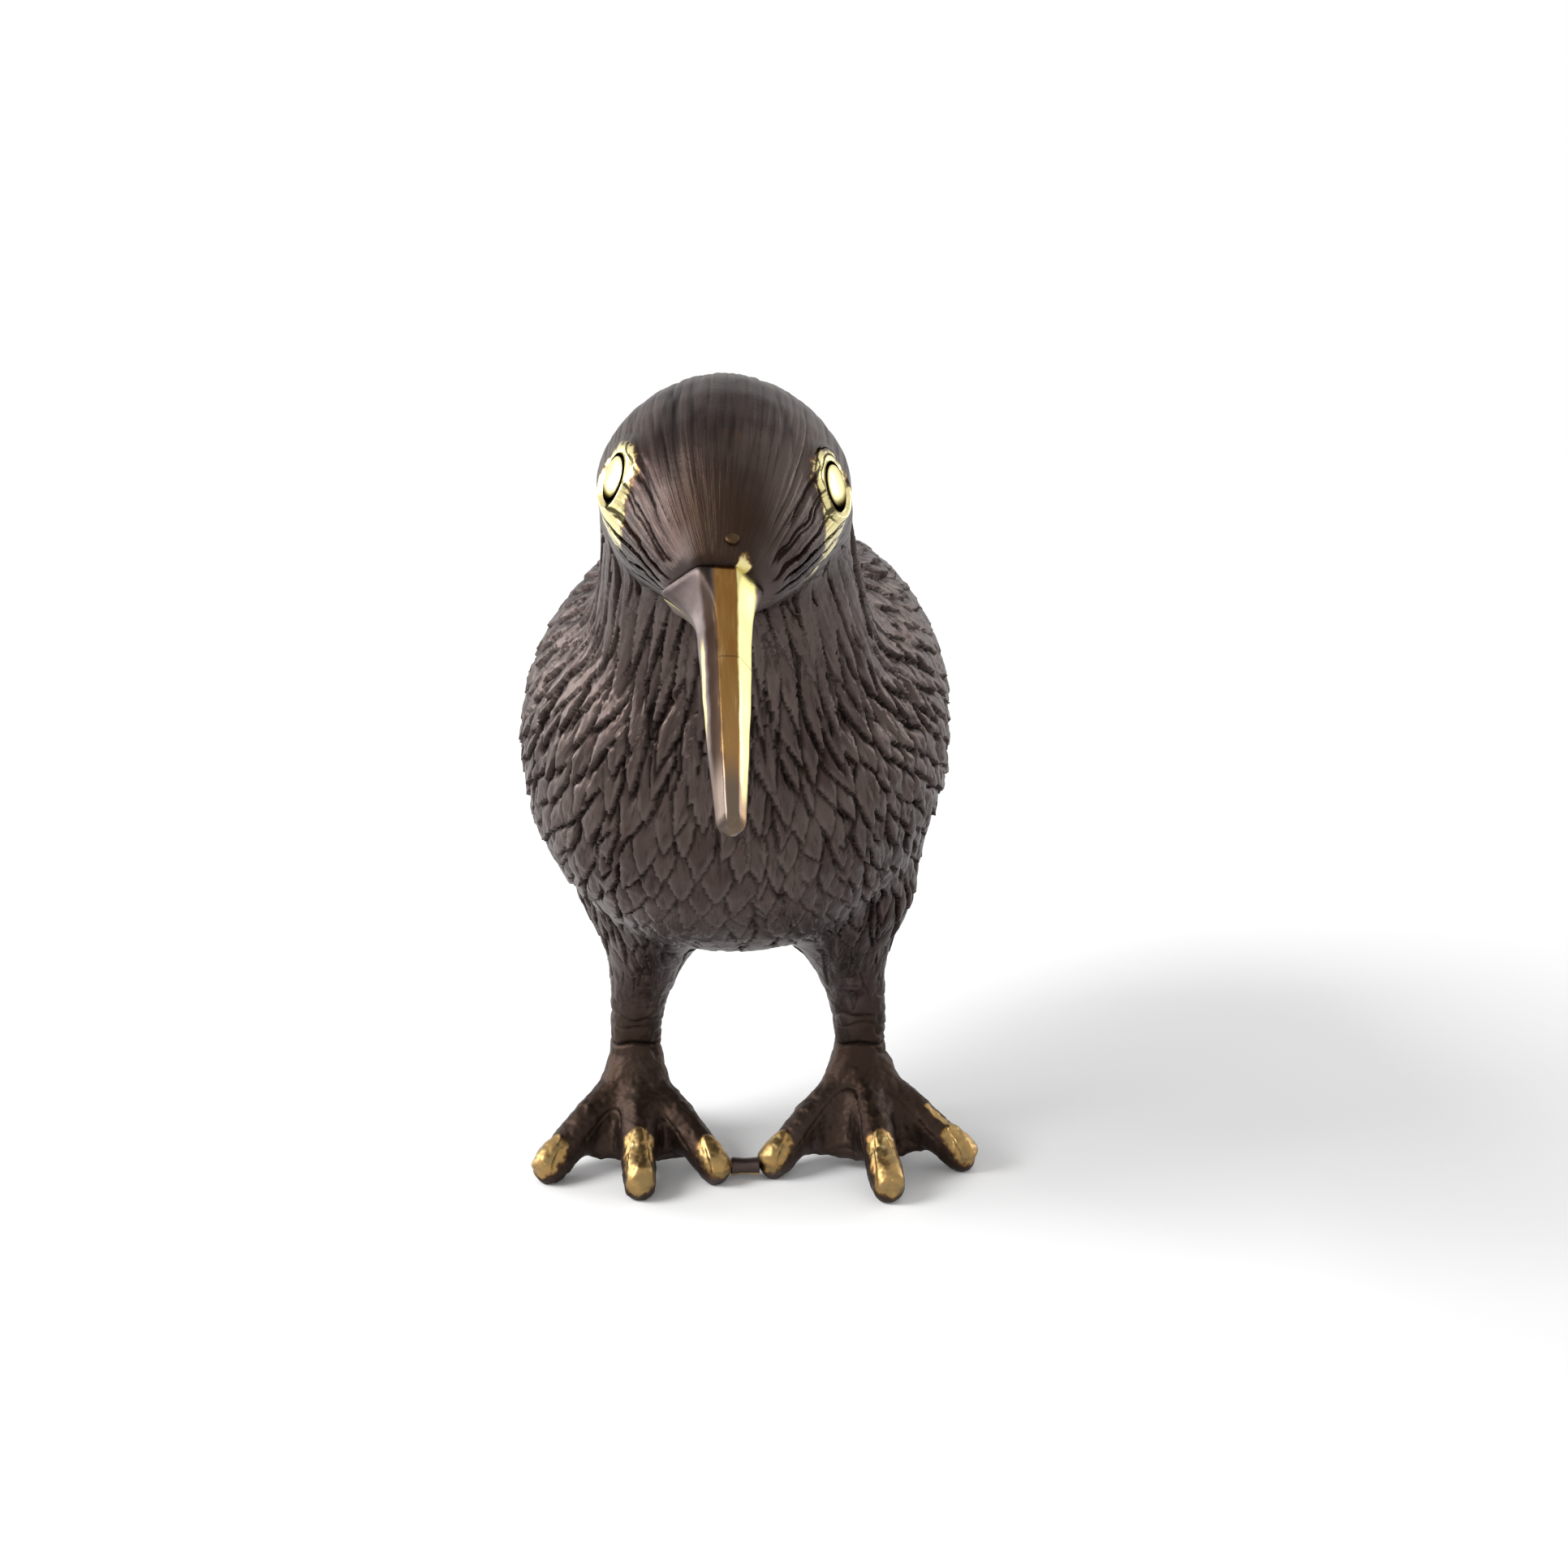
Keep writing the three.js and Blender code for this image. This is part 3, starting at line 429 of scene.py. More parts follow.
class Surface:
    """Numbers of a mesh for work on all its vertices at once."""

    def __init__(self, mesh: bpy.types.Mesh) -> None:
        """Reads the mesh's points and edges."""
        self.mesh = mesh
        self.points = np.empty((len(mesh.vertices), 3))
        mesh.vertices.foreach_get("co", self.points.ravel())
        edges = np.empty(2 * len(mesh.edges), dtype=np.int64)
        mesh.edges.foreach_get("vertices", edges)
        pairs = edges.reshape(-1, 2)
        self.near = np.concatenate([pairs[:, 0], pairs[:, 1]])
        self.far = np.concatenate([pairs[:, 1], pairs[:, 0]])
        self.degree = np.bincount(self.near, minlength=len(self.points))

    def normals(self) -> Array:
        """Returns the vertex normals of the mesh as it is now."""
        normals = np.empty((len(self.points), 3))
        self.mesh.vertex_normals.foreach_get("vector", normals.ravel())
        return normals

    def averaged(self, values: Array) -> Array:
        """Returns each vertex's mean of a value over its neighbours."""
        flat = values.reshape(len(self.points), -1)
        sums = [np.bincount(self.near, flat[self.far, k], len(self.points)) for k in range(flat.shape[1])]
        return (np.stack(sums, axis=1) / self.degree[:, None]).reshape(values.shape)

    def round_axis(self, point: Vector, axis: Vector) -> tuple[Array, Array, Array]:
        """Measures the points against an axis.

        Args:
            point: A point on the axis.
            axis: Its direction, of length 1.

        Returns:
            For each point its gap from that point, its height along the axis and its distance from it.
        """
        gap = self.points - np.array(point)
        out = gap @ np.array(axis)
        return gap, out, lengths(gap - out[:, None] * np.array(axis))

    def write(self) -> None:
        """Puts the points back into the mesh."""
        self.mesh.vertices.foreach_set("co", self.points.ravel())
        self.mesh.update()

    def push(self, height: Array) -> None:
        """Moves each point out by a height along its normal, and puts the points back."""
        self.points += self.normals() * height[:, None]
        self.write()

    def store(self, name: str, values: Array) -> None:
        """Stores a number or a vector for each vertex, for the materials."""
        kind = "FLOAT" if values.ndim == 1 else "FLOAT_VECTOR"
        layer = self.mesh.attributes.new(name, kind, "POINT")
        layer.data.foreach_set("value" if values.ndim == 1 else "vector", np.ravel(values).astype(np.float32))


def grid_noise(points: Array, size: float, seed: int) -> Array:
    """Smooth noise between -1 and 1, the same in each run.

    Args:
        points: Where it is wanted, in millimetres.
        size: Distance between the noise's lattice points.
        seed: Which noise.

    Returns:
        One number for each point.
    """
    cell = np.floor(points / size).astype(np.int64)
    t = points / size - cell
    t = t * t * (3.0 - 2.0 * t)
    total = np.zeros(len(points))
    for corner in range(8):
        step = np.array([corner & 1, corner >> 1 & 1, corner >> 2 & 1])
        at = (cell + step + 4096) * np.array([73856093, 19349663, 83492791])
        value = (at.sum(axis=1) ^ (seed * 2654435761)) & 0x7FFFFFFF
        value = (value ^ (value >> 13)) * 1274126177 & 0x7FFFFFFF
        weight = np.prod(np.where(step, t, 1.0 - t), axis=1)
        total += weight * ((value ^ (value >> 16)) % 65536 / 32768.0 - 1.0)
    return total


class BirdForm:
    """The bird's smooth form, without feathers: body, neck, head, legs and feet run together."""

    BODY_SIDES = 72
    NECK_SIDES = 56
    LEG_SIDES = 32
    TOE_SIDES = 20
    TIP_TURNS = (0.35, 0.7, 1.05, 1.4)
    FILL_ROUNDS = 110
    NECK_ROUNDS = 80
    FOOT_ROUNDS = 12
    SAME_NORMALS = 6
    FILL_SHARE = 0.9
    UNEVEN = 0.22

    def __init__(self, sizes: BirdSizes, grain: float = 0.8) -> None:
        """Keeps the casting's sizes, and the edge length of the run-together mesh."""
        self.sizes = sizes
        self.grain = grain

    def body_stations(self) -> list[Station]:
        """The body: an egg lying along Y, its axis dropping towards the rump."""
        z = self.sizes
        stations = []
        for angle in np.linspace(0.06, math.pi - 0.06, 25):
            along = -math.cos(angle)
            size = math.sin(angle)
            y = along * (z.body_front if along < 0 else z.body_rear)
            centre = z.body_centre + Vector((z.body_turn * y, y, -z.body_pitch * y))
            reach = (z.body_half_width * size, z.body_above * size, z.body_below * size)
            stations.append(Station(centre, UP, *reach, squareness=z.belly_squareness))
        return stations

    def head_station(self, t: float) -> Station:
        """Returns the head's ring at a place along it: nape 0, bill's seam 1."""
        z = self.sizes
        forward = mix(-z.head_back, z.head_front, t)
        u = max(0.0, forward / z.head_front)
        size = math.sqrt(max(0.0, 1.0 - (min(forward, 0.0) / z.head_back) ** 2))
        share = u**z.head_narrowing
        tilt = z.muzzle_tilt * u
        upright = math.cos(tilt)
        return Station(
            z.head_centre + Vector((0.0, -forward, -z.head_drop * u**z.head_droop)),
            Vector((math.sin(z.head_roll) * upright, -math.sin(tilt), math.cos(z.head_roll) * upright)),
            mix(z.head_half_width, z.muzzle_half_width, share) * size,
            mix(z.head_above, z.muzzle_half_height, share) * size,
            mix(z.head_below, z.muzzle_half_height, share) * size,
            across=Vector((math.cos(z.head_roll), 0.0, -math.sin(z.head_roll))),
            crown=z.crown_squareness,
        )

    def neck_stations(self) -> list[Station]:
        """The neck: from inside the body up to the middle of the head."""
        z = self.sizes
        root = z.body_centre + Vector((0.0, z.neck_root_back - z.head_forward, z.neck_root_rise))
        top = z.head_centre + Vector((0.0, z.neck_top_inset, -z.neck_top_inset))
        along = (top - root).normalized()
        lift = Vector((0.0, along.z, -along.y))
        stations = []
        for t in np.linspace(0.0, 1.0, 9):
            share = 1.0 - (1.0 - t) ** z.neck_taper
            depth = mix(z.neck_root_depth, z.neck_top_depth, share)
            width = mix(z.neck_root_half_width, z.neck_top_half_width, share)
            stations.append(Station(root.lerp(top, t), lift, width, depth, depth))
        return stations

    def leg_stations(self, side: int) -> list[Station]:
        """One leg, from just below the ankle's seam to inside the body.

        Args:
            side: 1 on the bird's left and -1 on its right.

        Returns:
            The leg's rings, from the bottom up.
        """
        z = self.sizes
        knee = mix(z.ankle_height, z.hip_seam, z.knee_share)
        drum = mix(knee, z.hip_seam, z.drum_share)
        swell = mix(z.shank_radius, z.thigh_radius, z.drum_swell), mix(1.0, z.thigh_depth, z.drum_swell)
        ham = z.hip_seam + z.ham_rise * z.thigh_top_rise
        thick = mix(z.thigh_radius, z.thigh_top_radius, z.ham_swell)
        rings = [
            (z.ankle_height - 1.0, z.ankle_spread, z.ankle_radius, 1.0),
            (z.ankle_height + 2.0, z.ankle_spread, mix(z.ankle_radius, z.shank_radius, z.ankle_swell), 1.0),
            (knee, mix(z.ankle_spread, z.thigh_spread, z.knee_lean), z.shank_radius * z.knee_swell, 1.0),
            (drum, mix(z.ankle_spread, z.thigh_spread, z.drum_lean), *swell),
            (z.hip_seam, z.thigh_spread, z.thigh_radius, z.thigh_depth),
            (ham, mix(z.thigh_spread, z.thigh_top_spread, z.ham_spread), thick, z.thigh_depth),
            (z.hip_seam + z.thigh_top_rise, z.thigh_top_spread, z.thigh_top_radius, z.thigh_depth),
        ]
        stations = []
        for height, spread, radius, depth in rings:
            centre = z.leg_point(side, spread, height)
            stations.append(Station(centre, BACK, radius, radius * depth, radius * depth))
        return stations

    def ankle(self, side: int) -> Vector:
        """Returns the point on the floor below an ankle."""
        return self.sizes.leg_point(side, self.sizes.ankle_spread)

    def toe_point(self, side: int, toe: Toe, t: float, root_height: float) -> Vector:
        """Returns a point on a toe's centre line: the ankle's axis 0, the toe's tip 1."""
        z = self.sizes
        pad = z.toe_tip_radius - z.pad_depth
        rise = max(0.0, 1.0 - t / (1.0 - z.pad_share)) ** z.toe_arch
        return self.ankle(side) + toe.heading * (toe.length * t) + UP * mix(pad, root_height, rise)

    def toe_stations(self, side: int, toe: Toe, root_height: float) -> list[Station]:
        """One toe, with the ridge along its top and its round end."""
        z = self.sizes
        round_from = 1.0 - z.toe_tip_radius / toe.length
        stations = []
        for t in np.linspace(0.0, round_from, 9):
            radius = mix(z.toe_radius, z.toe_tip_radius, t)
            centre = self.toe_point(side, toe, t, root_height)
            stations.append(Station(centre, UP, radius, radius + z.toe_ridge, radius, toe.across))
        for turn in self.TIP_TURNS:
            shrink = math.cos(turn)
            radius = z.toe_tip_radius * shrink
            centre = self.toe_point(side, toe, mix(round_from, 1.0, math.sin(turn)), root_height)
            stations.append(Station(centre, UP, radius, radius + z.toe_ridge * shrink, radius, toe.across))
        return stations

    def add_foot(self, bm: BMesh, side: int, toes: Sequence[Toe]) -> None:
        """Adds one foot: its toes, the hind toe and the web between them.

        Args:
            bm: The mesh that takes the foot.
            side: 1 on the bird's left and -1 on its right.
            toes: Its three front toes, from the bird's right to its left.
        """
        z = self.sizes
        hind = Toe(z.hind_toe_length, math.pi + (toes[0].turn + toes[2].turn) / 2)
        for toe in toes:
            add_tube(bm, self.toe_stations(side, toe, z.toe_root_height), self.TOE_SIDES)
        add_tube(bm, self.toe_stations(side, hind, z.toe_root_height * z.hind_toe_share), self.TOE_SIDES)
        ankle = self.ankle(side)
        collar = [
            ankle + Vector((math.cos(a), math.sin(a), 0.0)) * (z.ankle_radius * z.web_collar) + UP * height
            for a in np.linspace(0.0, 2 * math.pi, 16, endpoint=False)
            for height in (z.ankle_height - 1.0, z.ankle_height * z.web_heel)
        ]
        for pair in zip(toes, toes[1:]):
            points = list(collar)
            for toe in pair:
                for share, top in z.web_tops:
                    reach = ankle + toe.heading * (z.web_reach * share)
                    points += [reach + UP * z.web_clearance, reach + UP * top]
            add_hull(bm, points)

    def build(self) -> Thing:
        """Runs all the forms together and rounds the hollows where they meet.

        Returns:
            An object in millimetres, that the castings are cut from.
        """
        bm = bmesh.new()
        add_tube(bm, self.body_stations(), self.BODY_SIDES)
        add_tube(bm, self.neck_stations(), self.NECK_SIDES)
        head = [self.head_station(t) for t in (1.0 - np.cos(np.linspace(0.12, math.pi, 17))) / 2]
        add_tube(bm, head, self.NECK_SIDES)
        for side, toes in self.sizes.feet:
            add_tube(bm, self.leg_stations(side), self.LEG_SIDES)
            self.add_foot(bm, side, toes)
        form = to_object(bm, "bird_form")
        with_modifier(form, "REMESH", mode="VOXEL", voxel_size=self.grain, adaptivity=0.0)
        self.fill_hollows(form)
        return form

    def fill_hollows(self, form: Thing) -> None:
        """Fills the sharp hollows between the forms, as wax does, and leaves the rest as it is."""
        surface = Surface(form.data)
        height = surface.points[:, 2]
        thigh = ease(20.0, 27.0, height) * (1.0 - ease(50.0, 60.0, height))
        neck = ease(62.0, 70.0, height)
        foot = 1.0 - ease(13.0, 16.0, height)
        for step in range(self.FILL_ROUNDS):
            if step % self.SAME_NORMALS == 0:
                surface.write()
                normals = surface.normals()
            inward = surface.averaged(surface.points) - surface.points
            hollow = np.maximum(0.0, dots(inward, normals))
            share = thigh + neck * (step < self.NECK_ROUNDS) + foot * (step < self.FOOT_ROUNDS)
            surface.points += normals * (self.FILL_SHARE * np.clip(share, 0.0, 1.0) * hollow)[:, None]
        for _ in range(2):
            surface.points += 0.5 * (surface.averaged(surface.points) - surface.points)
        surface.write()
        uneven = grid_noise(surface.points, 8.0, 2) * ease(24.0, 40.0, height)
        surface.push(self.UNEVEN * uneven)
        surface.points[:, 2] = np.maximum(surface.points[:, 2], 0.0)
        surface.write()
        log.info("form: %d points, %.1f mm high", len(surface.points), surface.points[:, 2].max())


@dataclass(frozen=True)
class Plume:
    """A kind of feather: its size against the room it has, how far its tip stands up, and its sway."""

    width: float
    length: float
    rise: float
    sway: float


class PlumeKind(Enum):
    """The feathers that the maker cut, from fine to broad."""

    CHEEK = Plume(width=0.9, length=3.0, rise=0.26, sway=0.05)
    THROAT = Plume(width=0.80, length=4.0, rise=0.32, sway=0.07)
    SHOULDER = Plume(width=0.92, length=3.0, rise=0.66, sway=0.14)
    BREAST = Plume(width=0.98, length=2.9, rise=0.78, sway=0.20)
    FLANK = Plume(width=0.98, length=2.8, rise=0.78, sway=0.16)
    THIGH = Plume(width=0.95, length=2.8, rise=0.42, sway=0.12)
    UNDER = Plume(width=1.0, length=3.0, rise=0.24, sway=0.20)


@dataclass(frozen=True)
class Fold:
    """A bold line in the face: its angle below the eye, seen from the bill, its start, end and width."""

    offset: float
    near: float
    end: float
    width: float


class Plumage:
    """Feathers cut into the skin: each point takes the height of the feather that lies on top.

    The limits between the kinds of feather are heights and distances in millimetres, read off the
    photograph.
    """

    MIDLINE = 0.4
    SPOKES = 14.0
    FAR = 90.0
    RING_DROP = 3.3
    RING_COLUMNS = 13
    RINGS = 8
    WIDEST = -0.05
    BARE = -0.1
    FOLDS = (
        Fold(-0.16, 5.5, 2.0, 0.20), Fold(0.02, 6.0, -2.6, 0.24), Fold(0.12, 6.5, -2.4, 0.22),
        Fold(0.20, 5.0, 0.5, 0.24), Fold(0.30, 7.0, 1.0, 0.20), Fold(0.38, 6.0, 2.5, 0.24),
        Fold(0.46, 5.0, 1.5, 0.22), Fold(0.60, 6.0, 3.0, 0.20), Fold(0.64, 7.0, 4.0, 0.22),
        Fold(-0.22, 9.0, 3.0, 0.16),
    )

    def __init__(self, sizes: BirdSizes) -> None:
        """Keeps the sizes and works out the directions that the feathers are set out by."""
        self.sizes = sizes
        z = sizes
        self.head = np.array(z.head_centre)
        self.bill = np.array(z.muzzle_centre)
        axis = self.head - self.bill
        self.axis = axis / np.linalg.norm(axis)
        top = np.array(UP) - self.axis[2] * self.axis
        self.top = top / np.linalg.norm(top)
        form = BirdForm(sizes)
        self.eyes = tuple(np.array(eye_place(form, side)[0]) for side in (1, -1))
        self.body = np.array(z.body_centre)
        self.seam = np.array(z.neck_seam_point)
        self.seam_normal = np.array(z.neck_seam_normal)
        pole = (z.head_centre - z.body_centre).normalized()
        left = (ACROSS - pole * pole.x).normalized()
        self.pole = np.array(pole)
        self.left = np.array(left)
        self.over = np.array(pole.cross(left))

    def flow(self, points: Array, normals: Array) -> Array:
        """Returns the way the feathers point: from the head over the body, down and back."""
        gap = points - self.body
        course = gap / lengths(gap)[:, None]
        course = course * (course @ self.pole)[:, None] - self.pole
        thigh = (ease(44.0, 36.0, points[:, 2]) * ease(0.75, 0.35, np.abs(normals[:, 2])))[:, None]
        course = course * (1.0 - thigh) + thigh * np.array([0.0, 0.0, -1.0])
        course -= normals * dots(course, normals)[:, None]
        return units(course)

    def swung(self, course: Array, normals: Array, turn: Array) -> Array:
        """Returns directions on the skin, each swung round its normal by an angle."""
        return course * np.cos(turn)[:, None] + np.cross(normals, course) * np.sin(turn)[:, None]

    def above_seam(self, points: Array) -> Array:
        """Returns how far each point lies above the neck's seam."""
        return (points - self.seam) @ self.seam_normal

    def face(self, points: Array) -> Array:
        """Returns 1 on the head, where fine lines are cut instead of feathers, and 0 below it."""
        gap = points - self.head
        cheek = ease(2.0, -7.0, gap[:, 2]) * ease(-22.0, -8.0, gap[:, 1])
        return ease(-1.0, 5.0, self.above_seam(points) - 3.0 * cheek)

    def kinds(self, points: Array, normals: Array) -> dict[PlumeKind, Array]:
        """Returns how much of each kind of feather there is at each point."""
        x = np.abs(points[:, 0] - self.head[0])
        y, height = points[:, 1], points[:, 2]
        face = ease(-2.0, 4.0, self.above_seam(points))
        front = ease(14.0, -4.0, y)
        middle = ease(60.0, 72.0, height) * ease(11.0, 5.0, x)
        throat = (1.0 - face) * np.maximum(ease(70.0, 80.0, height) * ease(24.0, 17.0, x), middle) * front
        aside = np.abs(points[:, 0] - self.body[0] - self.sizes.stance_shift)
        thigh = ease(46.0, 36.0, height) * ease(6.0, 10.0, aside) * ease(36.0, 28.0, y)
        rest = np.clip(1.0 - face - throat - thigh, 0.0, 1.0)
        under = rest * ease(-0.55, -0.85, normals[:, 2])
        shoulder = (rest - under) * ease(68.0, 80.0, height)
        breast = (rest - under - shoulder) * ease(18.0, 2.0, y)
        return {
            PlumeKind.CHEEK: face,
            PlumeKind.THROAT: throat,
            PlumeKind.THIGH: thigh,
            PlumeKind.UNDER: under,
            PlumeKind.SHOULDER: shoulder,
            PlumeKind.BREAST: breast,
            PlumeKind.FLANK: rest - under - shoulder - breast,
        }

    def measures(self, points: Array, normals: Array) -> Table:
        """Returns the feathers' sizes at each point, blended from one kind to the next."""
        shares = self.kinds(points, normals)
        total = sum(shares.values()) + 1e-9
        names = ("width", "length", "rise", "sway")
        return {
            name: sum(share * getattr(kind.value, name) for kind, share in shares.items()) / total
            for name in names
        }

    def hair(self, points: Array) -> tuple[Array, Array, Array]:
        """Sets out the fine lines that run from the bill over the crown.

        Args:
            points: The skin's points.

        Returns:
            The depth of the lines in millimetres, how dark they are, and coordinates that run with them.
        """
        gap = points - self.bill
        run = gap @ self.axis
        spoke = gap - run[:, None] * self.axis
        nape = 1.0 - ease(8.0, 2.0, lengths(spoke)) * (run > 8.0)
        spoke = units(spoke)
        far = lengths(gap)[:, None]

        def fanned(slide: float) -> Array:
            """Returns coordinates that fan out from the bill and slide slowly along it."""
            return spoke * self.SPOKES + self.axis * far * slide

        wide = grid_noise(fanned(0.07), 1.15, 21)
        narrow = grid_noise(fanned(0.09) + 50.0, 0.7, 22)
        patch = 0.55 + 0.45 * grid_noise(fanned(0.35), 3.5, 23)
        line = bell(wide, 0.22) * patch
        fine = bell(narrow, 0.26) * (1.3 - patch)
        dark = np.clip(0.85 * line + 0.5 * fine, 0.0, 1.0)
        return (0.17 * line + 0.09 * fine) * nape, dark * nape, fanned(0.06)

    def folds(self, points: Array) -> Array:
        """Sets out the bold folds between the eyes and the gape, and the lid lines of the bird's left eye.

        The folds lie on both sides alike. They are measured in turn from the bird's right eye and
        from its left, so that their spacing is not even.

        Args:
            points: The skin's points.

        Returns:
            A share for each point; 1 is the bottom of a fold.
        """
        gap = points - self.bill
        far = lengths(gap)
        turn = np.arctan2(np.abs(gap[:, 0] - self.MIDLINE), gap @ self.top)
        turn = turn + 0.07 * grid_noise(points, 3.4, 31) + 0.02 * grid_noise(points, 1.1, 32)
        dark = np.zeros(len(points))
        for number, fold in enumerate(self.FOLDS):
            eye = self.eyes[0] if number % 2 else self.eyes[1]
            reach = np.linalg.norm(eye - self.bill)
            middle = np.arctan2(abs(eye[0] - self.MIDLINE), (eye - self.bill) @ self.top) + fold.offset
            width = 1.5 * fold.width * (0.7 + 0.5 * grid_noise(points, 2.2, 33 + number))
            end = reach + fold.end
            window = ease(fold.near, fold.near + 2.0, far) * ease(end, end - 2.0, far)
            dark = np.maximum(dark, bell((turn - middle) * far, width) * window)
        eye = self.eyes[0]
        away = lengths(points - eye) + 0.3 * grid_noise(points, 2.0, 45)
        lid = bell(away - 3.7, 0.16) + 0.8 * bell(away - 4.6, 0.14)
        inner = ease(0.4, -0.8, np.abs(points[:, 0]) - abs(eye[0])) * (points[:, 0] * eye[0] > 0)
        return np.clip(np.maximum(dark, lid * inner), 0.0, 1.0)

    def near_bill(self, points: Array) -> tuple[Array, Array]:
        """Returns how much of the forehead's dark patch and of the smooth cheeks there is at each point."""
        gap = points - self.bill
        far = lengths(gap) + 0.8 * grid_noise(points, 3.0, 25)
        across = np.abs(gap[:, 0] - self.MIDLINE)
        upper = ease(-0.5, 2.5, gap[:, 2])
        brow = ease(21.0, 8.0, far) * ease(7.5, 3.2, across) * upper
        # The cheeks are left without lines; the same share carries the painted sheen in the bronze.
        cheek = ease(9.0, 4.5, far) * (1.0 - ease(4.4, 2.6, across) * upper)
        return brow, cheek

    def chance(self, row: Array, column: Array, kind: int) -> Array:
        """Returns numbers from 0 to 1 that look random, the same as in the CAD source."""
        value = np.sin(row * 12.9898 + column * 78.233 + kind * 37.719) * 43758.5453
        return value - np.floor(value)

    def direction(self, away: Array, around: Array) -> Array:
        """Returns directions from the body's middle: away from the head, and round that line."""
        out = np.cos(away)[:, None] * self.pole
        out += (np.sin(away) * np.cos(around))[:, None] * self.left
        return out + (np.sin(away) * np.sin(around))[:, None] * self.over

    def caster(self, form: Thing, keep: Callable[[Vector], bool]) -> BVHTree:
        """Returns the faces that rays may meet: those whose middle is kept."""
        faces = [face.vertices for face in form.data.polygons if keep(face.center)]
        return BVHTree.FromPolygons([vert.co for vert in form.data.vertices], faces)

    def met(self, tree: BVHTree, rays: Iterable[tuple[Vector, Vector]], reach: float) -> tuple[Array, Array]:
        """Finds where rays meet the skin.

        Args:
            tree: What they may meet.
            rays: The start and direction of each.
            reach: How far they go.

        Returns:
            The points and their normals, not a number where a ray misses.
        """
        found = []
        for start, way in rays:
            place, normal, _, _ = tree.ray_cast(start, way)
            good = place is not None and (place - start).length < reach
            found.append((*place, *normal) if good else (math.nan,) * 6)
        table = np.array(found)
        return table[:, :3], table[:, 3:]

    def strayed(self, row: Array, column: Array, step: float) -> tuple[Array, Array]:
        """Returns rows and angles a little off their grid, every other row set off by half a column."""
        down, aside = (self.sizes.plume_stray * (2.0 * self.chance(row, column, k) - 1.0) for k in (1, 2))
        return row + down, step * (column + (row % 2) / 2.0 + aside)

    def body_rows(self, form: Thing) -> Table:
        """Sets out feathers in rows from the neck to the rump, as the CAD source does."""
        z = self.sizes
        row_step = (z.plume_last - z.plume_first) / (z.plume_rows - 1)
        column_step = 2.0 * math.pi / z.plume_columns
        row, column = (grid.ravel() for grid in np.mgrid[-1 : z.plume_rows + 3, 0 : z.plume_columns])
        tail = row >= z.plume_rows
        kept = ~tail | ((row + column) % 2 == 0)
        row, column, tail = row[kept], column[kept], tail[kept]
        down, around = self.strayed(row, column, column_step)
        seam, up = z.neck_seam_point, z.neck_seam_normal
        tree = self.caster(form, lambda p: (p - seam).dot(up) < 1.0 and p.z > z.hip_seam + 1.0)
        centre = z.body_centre

        def surface(turn: Array, spin: Array) -> tuple[Array, Array]:
            """Meets the body from outside, at angles from the pole and round it."""
            ways = self.direction(np.minimum(turn, math.pi - 0.02), spin)
            rays = ((centre + Vector(way) * self.FAR, -Vector(way)) for way in ways)
            place, normal = self.met(tree, rays, math.inf)
            place[~(dots(normal, ways) > 0.05)] = math.nan
            return place, normal

        at = (z.plume_first + row_step * down, around)
        return self.plumes(surface, at, (row_step, column_step), (row, column), np.where(tail, 2.0, 1.0))

    def thigh_rows(self, form: Thing, side: int) -> Table:
        """Sets out feathers in rings down one thigh.

        Args:
            form: The form.
            side: 1 on the bird's left and -1 on its right.

        Returns:
            The feathers, as plumes gives them.
        """
        z = self.sizes
        column_step = 2.0 * math.pi / self.RING_COLUMNS
        row, column = (grid.ravel() for grid in np.mgrid[0 : self.RINGS, 0 : self.RING_COLUMNS])
        down, around = self.strayed(row, column, column_step)
        middle = z.stance_middle
        tree = self.caster(form, lambda p: (p.x - middle) * side > -1.0 and 16.0 < p.z < 52.0)
        axis = z.leg_point(side, z.thigh_spread)

        def surface(level: Array, spin: Array) -> tuple[Array, Array]:
            """Meets the thigh from inside, at heights counted downwards and angles round it."""
            ways = (Vector((math.cos(turn), math.sin(turn), 0.0)) for turn in spin)
            rays = ((axis - UP * drop, way) for drop, way in zip(level, ways))
            return self.met(tree, rays, 1.5 * z.thigh_radius)

        at = (self.RING_DROP * down - z.hip_seam - 14.0, around)
        return self.plumes(surface, at, (self.RING_DROP, column_step), (row, column), np.ones(len(row)))

    def plumes(
        self,
        surface: Callable[[Array, Array], tuple[Array, Array]],
        at: tuple[Array, Array],
        steps: tuple[float, float],
        grid: tuple[Array, Array],
        spread: Array,
    ) -> Table:
        """Fits one feather to the room round each tip.

        Args:
            surface: Gives points and normals for two lists of coordinates: along the rows' order, and across.
            at: The tips' coordinates.
            steps: The coordinates' steps from row to row and from column to column.
            grid: The rows and columns, for the chance numbers.
            spread: How many columns' room each feather has.

        Returns:
            The feathers' places with their directions, sizes and chance numbers.
        """
        tip, _ = surface(*at)
        before, _ = surface(at[0] - steps[0], at[1])
        beside, _ = surface(at[0], at[1] + steps[1])
        root, normal = surface(at[0] - 1.2 * steps[0], at[1])
        known = ~np.isnan(np.concatenate([tip, before, beside, root], axis=1)).any(axis=1)
        tip, before, beside, root, normal = (part[known] for part in (tip, before, beside, root, normal))
        row, column = grid[0][known], grid[1][known]
        chances = [self.chance(row, column, kind) for kind in range(3, 12)]
        sizes = self.measures(root, normal)
        room_long = np.clip(lengths(tip - before), 2.6, 5.6)
        room_wide = np.clip(lengths(tip - beside) * spread[known], 1.7, 5.2)
        length = room_long * sizes["length"] * (0.86 + 0.34 * chances[0])
        turn = (chances[1] + chances[2] - 1.0) * 2.0 * sizes["sway"]
        along = self.swung(self.flow(root, normal), normal, turn)
        back = tip - along * (length / 2.0)[:, None]
